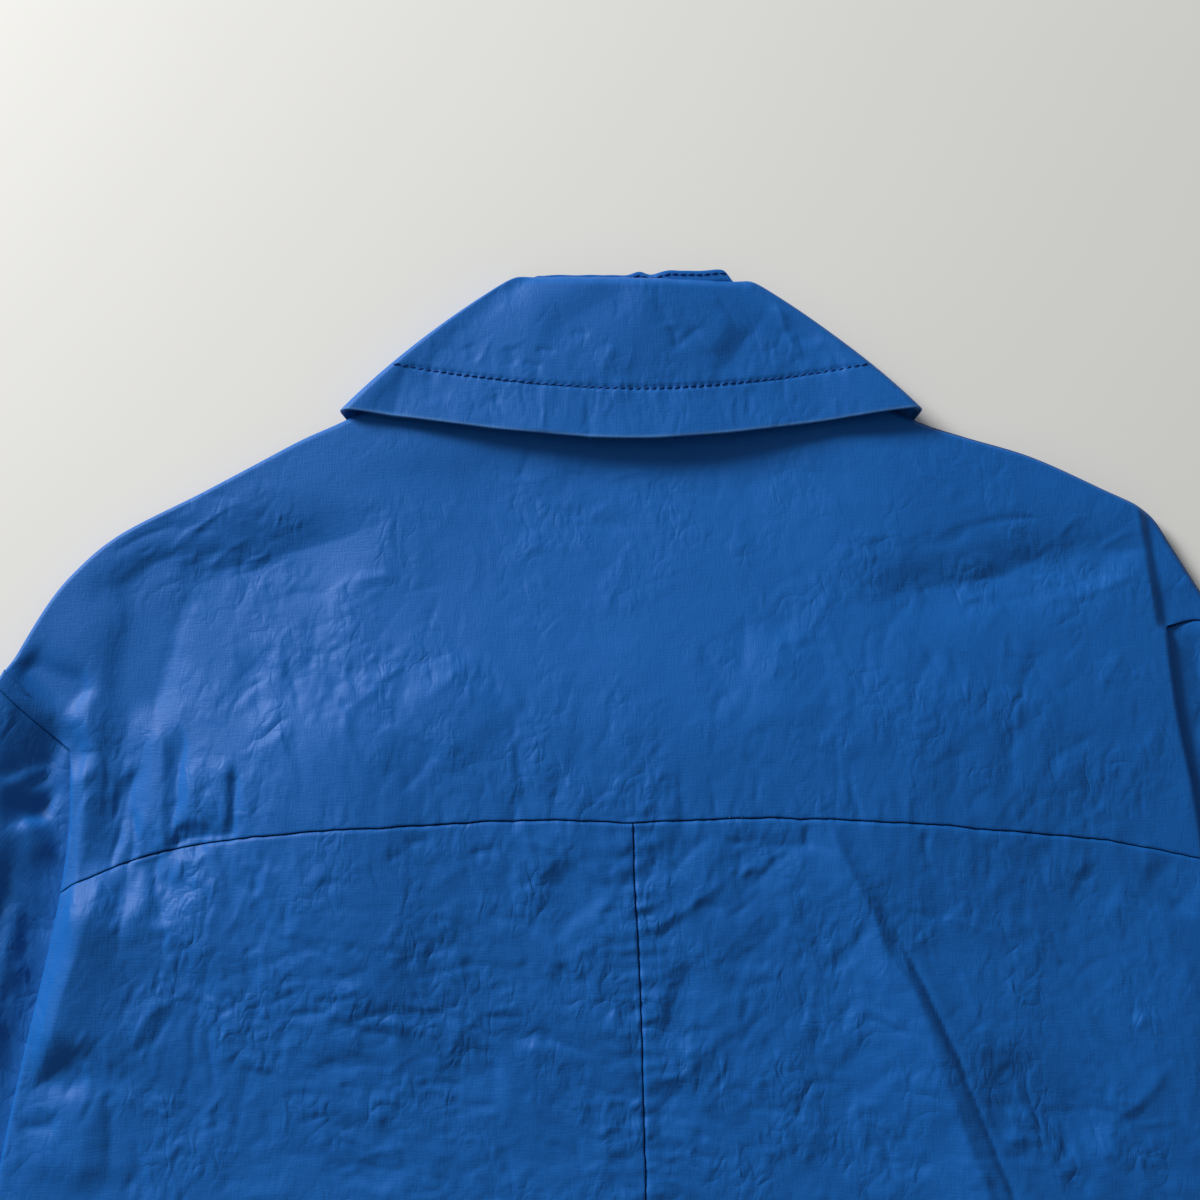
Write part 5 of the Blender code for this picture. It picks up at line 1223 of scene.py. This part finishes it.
def fall_turn(v, side):
    """The fall from its front end round the fold to the back, as plan points and heights."""
    front = WING_ROLL_END + (WING_POINT - WING_ROLL_END) * v
    fold = fall_fold(v)
    start = fold - (fold - front) / abs(fold - front) * FALL_TURN_R
    wing = front + (start - front) * np.linspace(0, 1, WING_COLUMNS)
    turn = np.radians(np.linspace(0, 180, TURN_COLUMNS)[1:-1])
    end = np.full(v.shape, -1.0 if side == "left" else 1.0)
    top = fall_back_point(end, v)
    top = -abs(top.real) + 1j * top.imag
    base = start + (top - start) * (1 - np.cos(turn)) / 2
    bend = base + (fold - base) * np.sin(turn)
    bend_z = CLEAR + (fall_height(end, v) - CLEAR) * (1 - np.cos(turn)) / 2
    p = np.concatenate([wing, bend], axis=1)
    z = np.concatenate([np.full(wing.shape, CLEAR), bend_z], axis=1)
    if side == "left":
        return p, z
    return -p.real[:, ::-1] + 1j * p.imag[:, ::-1], z[:, ::-1]


def fall_points(s, vs):
    """The fall's outer face: wing, round the left fold, across the back, round the right fold, wing."""
    v = vs[:, None]
    left, left_z = fall_turn(v, "left")
    right, right_z = fall_turn(v, "right")
    p = np.concatenate([left, fall_back_point(s[None, :], v), right], axis=1)
    z = np.concatenate([left_z, fall_height(s[None, :] + 0 * v, v + 0 * s[None, :]), right_z], axis=1)
    return p, z, slice(left.shape[1], left.shape[1] + len(s))


def normals_of(points):
    along = np.gradient(points, axis=1)
    down = np.gradient(points, axis=0)
    n = np.cross(down, along)
    return n / np.maximum(np.linalg.norm(n, axis=-1, keepdims=True), 1e-9)


def make_fall(look):
    """Returns the fall, and the points and normals that its topstitching follows."""
    depth = ROLL_Y - COLLAR_EDGE_Y
    s = np.linspace(-1, 1, FALL_COLUMNS)
    vs = shares(depth + 3.0, FALL_STEP)
    p, z, back = fall_points(s, vs)
    v = np.broadcast_to(vs[:, None], p.shape)
    points = heights_to_points(p, z)
    n = normals_of(points)
    q = p[:, back]
    small = 0.5 * crumple(q * 1.6, 0.55, 0.4)
    for c in COLLAR_CREASES + crinkles(COLLAR_PATCHES, 23):
        small = small + crease_rise(q, c)
    edge = (1 - v[:, back]) * depth
    away = edge - STITCH_IN
    pull = np.cos(q.real * 2 * math.pi / STITCH_PITCH)
    small = small - 0.55 * np.exp(-(away / 1.1) ** 2) * (1 + 0.4 * pull)
    small = small + 0.34 * noise(q.real + 0.2j * q.imag, 6.0, 41) * np.exp(-(away / 8.0) ** 2)
    small = small + 0.5 * noise(q.real + 0.12j * q.imag, 22.0, 42) * smooth(1 - edge / 26)
    bumps = np.zeros(p.shape)
    bumps[:, back] = small * smooth(edge / 2.0 + 0.3) * smooth((1 - abs(s)) / 0.08)[None, :]
    points = points + n * bumps[..., None]
    n = normals_of(points)
    # the fall's edge and rim are lightened: partly wear, partly a painted highlight where the rounded edge
    # catches the light
    worn_and_sheen = np.exp(-((1 - v) * depth / 0.9) ** 2)
    out = points[-1] - points[-3]
    out = out / np.linalg.norm(out, axis=-1, keepdims=True)
    rim = np.stack([points[-1] + out * step_out - n[-1] * step_in for step_out, step_in in RIM])
    under = slice(None, int(len(vs) * UNDER_SHARE), -6)
    inner = points[under] - n[under] * FALL_THICK
    everything = np.concatenate([points, rim, inner])
    everything[..., 2] = np.maximum(everything[..., 2], CLEAR)
    worn_and_sheen = np.concatenate([worn_and_sheen, np.ones((len(RIM), p.shape[1])), np.zeros(inner.shape[:2])])
    plan_uv = np.concatenate([p, np.repeat(p[-1:], len(RIM), axis=0), p[under] + 200])
    uv = np.stack([plan_uv.real, plan_uv.imag], axis=-1)
    obj = grid_mesh("shell_collar_fall", everything, look, uv, flip=True, worn_and_sheen=worn_and_sheen)
    row = int(np.argmin(abs((1 - vs) * depth - STITCH_IN)))
    sewn = slice(back.start - 4, back.stop + 4)
    return obj, points[row, sewn], n[row, sewn]


STAND_TURN_R = 3.0
STAND_TOP_HALF = 49.0
STAND_TOP_SIDE = complex(-50.5, 512.0)
STAND_TOP_FRONT = complex(-3.0, 423.0)
STRIP_RISE = 1.7        # the stand's top strip is pulled up over the roll,
STRIP_RISE_RIGHT = 1.8  # this much more at the right
STRIP_STITCH = 0.965    # share of the stand's height at which its own stitches run


def make_stand(look):
    """Returns the stand, and the points and normals that its stitches follow."""
    vs = np.concatenate([np.linspace(0, 0.8, 9), np.linspace(0.84, 1.0, 9)])
    v = vs[:, None]
    s = np.linspace(-1, 1, STAND_COLUMNS)[None, :]

    def back_point(s, v):
        low = neck_back(s * NECK_HALF, SEAM + 0.4 * smooth((abs(s) - 0.7) / 0.3))
        x = s * STAND_TOP_HALF
        lumps = 0.8 * noise(x + 3j, 10.0, 51) + 1.6 * np.exp(-((x - 4.5) / 3.5) ** 2)
        lumps = lumps + 1.5 * smooth((x - 6) / 14)
        top_y = TOP_Y + 0.4 + lumps * smooth((0.97 - abs(s)) / 0.1) - 3.4 * smooth((abs(s) - 0.85) / 0.15)
        return low + (x + 1j * top_y - low) * v

    across = back_point(s, v)
    pulled = STRIP_RISE + STRIP_RISE_RIGHT * smooth((s * STAND_TOP_HALF - 4) / 14)
    across_z = NECK_Z + 0.5 * v + pulled * smooth((v - 0.8) / 0.1) * smooth((1 - abs(s)) / 0.1)
    x = np.linspace(-2.0, -NECK_HALF, 24)
    along = np.linspace(0, 1, len(x))[None, :]
    low = neck_front(x, SEAM)[None, :]
    front = low + (STAND_TOP_FRONT + (STAND_TOP_SIDE - STAND_TOP_FRONT) * along - low) * v
    turn = np.radians(np.linspace(0, 180, 9)[1:-1])[None, :]
    foot = front[:, -1:]
    top = back_point(np.array([[-1.0]]), v)
    base = foot + (top - foot) * (1 - np.cos(turn)) / 2
    outward = complex(-0.78, 0.62)
    bend = base + outward * STAND_TURN_R * np.sin(turn) * (1 - 0.4 * v)
    bend_z = WING_LIFT + (across_z[:, :1] - WING_LIFT) * (1 - np.cos(turn)) / 2
    front_z = np.full(front.shape, WING_LIFT + CLEAR)
    right_z = front_z + 1.5 * smooth((x[None, :] + 70) / 30) * (1 - smooth(v / 0.7))
    mirrored = [-q.real[:, ::-1] + 1j * q.imag[:, ::-1] for q in (bend, front)]
    p = np.concatenate([front, bend, across, *mirrored], axis=1)
    z = np.concatenate([front_z, bend_z, across_z, bend_z[:, ::-1], right_z[:, ::-1]], axis=1)
    obj = finish_panel("shell_collar_stand", p, z, look, (BUTT, STAND_TOP, [], []))
    row = int(np.argmin(abs(vs - STRIP_STITCH)))
    sewn = heights_to_points(across[row], across_z[row])[8:-8]
    return obj, sewn, np.broadcast_to((0.0, 0.0, 1.0), sewn.shape)


# ---- sewing ----
STITCH_SIDES = 6
STITCH_STATIONS = (     # along a stitch: place as a share of its length, share of its radius, lift in mm
    (-0.5, 0.25, -0.28), (-0.36, 0.85, 0.05), (0.0, 1.0, 0.22), (0.36, 0.85, 0.05), (0.5, 0.25, -0.28))


def make_stitches(name, lines, look):
    """Short threads in rows; each line is (points, normals, slant in degrees)."""
    ring = [(math.cos(a), math.sin(a)) for a in np.radians(np.arange(0, 360, 360 // STITCH_SIDES))]
    verts, faces = [], []
    for points, normals, slant in lines:
        reached = np.concatenate([[0], np.cumsum(np.linalg.norm(np.diff(points, axis=0), axis=1))])
        middles = np.arange(STITCH_PITCH * 0.6, reached[-1] - STITCH_PITCH * 0.5, STITCH_PITCH)
        for k, distance in enumerate(middles):
            at, ahead, up = [np.array([np.interp(reach, reached, values[:, i]) for i in range(3)])
                             for reach, values in ((distance, points), (distance + 0.5, points),
                                                   (distance, normals))]
            up /= np.linalg.norm(up)
            way = (ahead - at) / np.linalg.norm(ahead - at)
            side = np.cross(up, way)
            angle = math.radians(slant * (1 + 0.5 * math.sin(k * 2.3)))
            way, side = (way * math.cos(angle) + side * math.sin(angle),
                         side * math.cos(angle) - way * math.sin(angle))
            first = len(verts)
            for place, radius, lift in STITCH_STATIONS:
                middle = at + way * place * STITCH_LONG + up * (lift + 0.14)
                for c, d in ring:
                    verts.append(middle + (side * c + up * d) * radius * STITCH_R)
            for j in range(len(STITCH_STATIONS) - 1):
                a, b = first + STITCH_SIDES * j, first + STITCH_SIDES * (j + 1)
                for i in range(STITCH_SIDES):
                    n = (i + 1) % STITCH_SIDES
                    faces.append((a + i, a + n, b + n, b + i))
    mesh = bpy.data.meshes.new(name)
    mesh.from_pydata((np.array(verts) * MM).tolist(), [], faces)
    mesh.shade_smooth()
    mesh.materials.append(look)
    obj = placed(name, mesh)
    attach(obj, "root")
    return obj


# ---- materials ----
CLOTH_BLUES = ((0.002, 0.086, 0.34, 1), (0.004, 0.102, 0.38, 1))
# a lighter, greyer blue for the collar's edge: partly wear and dust, partly a painted highlight of the sheen
# along its rounded edge
WORN_AND_SHEEN_BLUE = (0.06, 0.17, 0.37, 1)
WORN_AND_SHEEN_SHARE = 0.6        # of that blue on the collar's edge, standing for wear and for a painted highlight
SHEEN_BLUE = (0.5, 0.7, 1.0, 1)
THREAD_BLUES = ((0.001, 0.022, 0.13, 1), (0.003, 0.036, 0.19, 1))
BUTTON_BLUES = ((0.006, 0.022, 0.10, 1), (0.010, 0.038, 0.15, 1))
FLOOR_GREYS = ((0.70, 0.698, 0.675, 1), (0.74, 0.738, 0.715, 1))


def new_material(name):
    look = bpy.data.materials.new(name)
    look.use_nodes = True
    tree = look.node_tree
    return look, tree, tree.nodes["Principled BSDF"]


def feed(tree, value, socket):
    """Links another node's output to a socket, or sets a plain value on it."""
    if isinstance(value, bpy.types.NodeSocket):
        tree.links.new(value, socket)
    else:
        socket.default_value = value


def make_node(tree, kind, **values):
    """A node with values or links for its inputs, whose spaces are written as underscores."""
    made = tree.nodes.new(kind)
    for key, value in values.items():
        feed(tree, value, made.inputs[key.replace("_", " ")])
    return made


def maths(tree, operation, *values):
    made = tree.nodes.new("ShaderNodeMath")
    made.operation = operation
    for value, socket in zip(values, made.inputs):
        feed(tree, value, socket)
    return made.outputs[0]


def mixed(tree, share, first, second):
    """A colour between two others."""
    made = tree.nodes.new("ShaderNodeMix")
    made.data_type = "RGBA"
    for key, value in (("Factor", share), ("A", first), ("B", second)):
        feed(tree, value, made.inputs[key])
    return made.outputs["Result"]


def cloth_material():
    """Blue cloth: a mottled colour, a weave, and fine creases in uneven places where it is crisp."""
    look, tree, shader = new_material("coat_cloth_look")
    uv = tree.nodes.new("ShaderNodeUVMap")
    uv.uv_map = "cloth"
    place = tree.nodes.new("ShaderNodeTexCoord")

    def attribute(name):
        made = tree.nodes.new("ShaderNodeAttribute")
        made.attribute_name = name
        return made.outputs["Fac"]

    def lumps(source, stretch, **values):
        """A noise on coordinates that are stretched first."""
        mapping = make_node(tree, "ShaderNodeMapping", Vector=source, Scale=stretch)
        texture = make_node(tree, "ShaderNodeTexNoise", Vector=mapping.outputs["Vector"], **values)
        return texture.outputs["Fac"]

    def fold_lines(scale, stretch, weight, distortion):
        """Facets that meet in thin lines: how far a noise is from its middle."""
        lump = lumps(place.outputs["Object"], stretch, Scale=scale, Detail=1.5, Distortion=distortion)
        line = maths(tree, "ABSOLUTE", maths(tree, "SUBTRACT", lump, 0.5))
        return maths(tree, "MULTIPLY", line, weight)

    mottle = lumps(place.outputs["Object"], (1, 1, 1), Scale=28.0, Detail=5.0)
    # the collar's edge turns lighter: wear, and a painted highlight on its rounded edge
    worn_and_sheen = maths(tree, "MULTIPLY", attribute("worn_and_sheen"), WORN_AND_SHEEN_SHARE)
    colour = mixed(tree, worn_and_sheen, mixed(tree, mottle, *CLOTH_BLUES), WORN_AND_SHEEN_BLUE)
    slubs = [lumps(uv.outputs["UV"], stretch, Scale=420.0, Detail=2.0)
             for stretch in ((3.0, 0.5, 1), (0.5, 3.0, 1))]
    weave = make_node(tree, "ShaderNodeBump", Strength=0.35, Distance=0.0003,
                      Height=maths(tree, "ADD", *slubs))
    lines = maths(tree, "ADD", fold_lines(60.0, (1, 0.8, 0.2), 1.0, 0.4),
                  fold_lines(150.0, (1, 0.6, 0.2), 0.45, 0.5))
    spread = lumps(place.outputs["Object"], (1, 1, 0.2), Scale=34.0, Detail=1.0)
    gathered = make_node(tree, "ShaderNodeMapRange", Value=spread, From_Min=0.42, From_Max=0.62)
    strength = maths(tree, "MULTIPLY", gathered.outputs["Result"], attribute("crisp"))
    creased = make_node(tree, "ShaderNodeBump", Strength=1.0, Distance=0.0033,
                        Height=maths(tree, "MULTIPLY", lines, strength), Normal=weave.outputs["Normal"])
    for key, value in (("Base Color", colour), ("Normal", creased.outputs["Normal"]), ("Roughness", 0.55),
                       ("Specular IOR Level", 0.2), ("Sheen Weight", 0.03), ("Sheen Roughness", 0.4),
                       ("Sheen Tint", SHEEN_BLUE)):
        feed(tree, value, shader.inputs[key])
    return look


def speckled_material(name, shades, roughness, specular=0.5, on_object=False, **noise_values):
    """A material whose colour wanders between two shades."""
    look, tree, shader = new_material(name)
    texture = make_node(tree, "ShaderNodeTexNoise", **noise_values)
    if on_object:
        place = tree.nodes.new("ShaderNodeTexCoord")
        feed(tree, place.outputs["Object"], texture.inputs["Vector"])
    feed(tree, mixed(tree, texture.outputs["Fac"], *shades), shader.inputs["Base Color"])
    shader.inputs["Roughness"].default_value = roughness
    shader.inputs["Specular IOR Level"].default_value = specular
    return look


# ---- surroundings, in metres ----
FLOOR_HALF = 4.0
WINDOW_PLACE = (-2.19, 2.27, 1.25)
WINDOW_TARGET = (0.0, 0.3, 0.0)
WINDOW_SIZE = (1.2, 0.9)
WINDOW_POWER = 160.0
WINDOW_COLOUR = (1.0, 0.985, 0.96)
ROOM_COLOUR = (0.93, 0.96, 1.0, 1)
ROOM_STRENGTH = 0.27
CAMERA_PLACE = (-0.01390, 0.21071, 0.72731)
CAMERA_TILT = 12.0      # degrees from straight down
CAMERA_LENS = 50.0      # mm, on a sensor 36 mm wide


def make_floor():
    mesh = bpy.data.meshes.new("floor")
    corners = [(x * FLOOR_HALF, y * FLOOR_HALF, 0) for x, y in ((-1, -1), (1, -1), (1, 1), (-1, 1))]
    mesh.from_pydata(corners, [], [(0, 1, 2, 3)])
    mesh.materials.append(speckled_material("floor_look", FLOOR_GREYS, 0.6, on_object=True, Scale=3.0,
                                            Detail=4.0))
    placed("floor", mesh)


def make_window():
    """One soft light, up and to the left."""
    data = bpy.data.lights.new("window", "AREA")
    data.shape = "RECTANGLE"
    data.size, data.size_y = WINDOW_SIZE
    data.energy = WINDOW_POWER
    data.color = WINDOW_COLOUR
    obj = placed("window", data)
    obj.location = WINDOW_PLACE
    way = Vector(WINDOW_TARGET) - Vector(WINDOW_PLACE)
    obj.rotation_euler = way.to_track_quat("-Z", "Y").to_euler()


def make_camera():
    data = bpy.data.cameras.new("camera")
    data.lens = CAMERA_LENS
    data.sensor_width = 36.0
    obj = placed("camera", data)
    obj.location = CAMERA_PLACE
    obj.rotation_euler = (math.radians(CAMERA_TILT), 0.0, 0.0)
    bpy.context.scene.camera = obj


def make_world():
    world = bpy.data.worlds.new("world")
    world.use_nodes = True
    back = world.node_tree.nodes["Background"]
    back.inputs["Color"].default_value = ROOM_COLOUR
    back.inputs["Strength"].default_value = ROOM_STRENGTH
    bpy.context.scene.world = world


# ---- the scene ----
cloth = cloth_material()
thread = speckled_material("thread_look", THREAD_BLUES, 0.6, 0.1, Scale=2500.0)
yoke = make_yoke(cloth)
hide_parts("yoke")
shells = {"yoke": yoke}
for side in SIDES:
    for kind, maker in (("back", make_back), ("front", make_front), ("sleeve", make_sleeve)):
        node = "%s_%s" % (kind, side)
        shells[node] = maker(side, cloth)
        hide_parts(node)
shells["fly_strip"] = make_fly(cloth)
shells["collar_fall"], stitch_points, stitch_normals = make_fall(cloth)
shells["collar_stand"], strip_points, strip_normals = make_stand(cloth)
for node in ("fly_strip", "collar_fall", "collar_stand"):
    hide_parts(node)
sewn_rows = [(stitch_points, stitch_normals, 14.0), (strip_points, strip_normals, 6.0)]
stitches = make_stitches("stitches_collar", sewn_rows, thread)

button_look = speckled_material("button_look", BUTTON_BLUES, 0.3, Scale=300.0)
for number in range(1, 6):
    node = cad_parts["button_%d" % number]
    node.data.materials.clear()
    node.data.materials.append(button_look)

make_floor()
make_window()
make_world()
make_camera()
bpy.context.scene.view_settings.view_transform = "Standard"
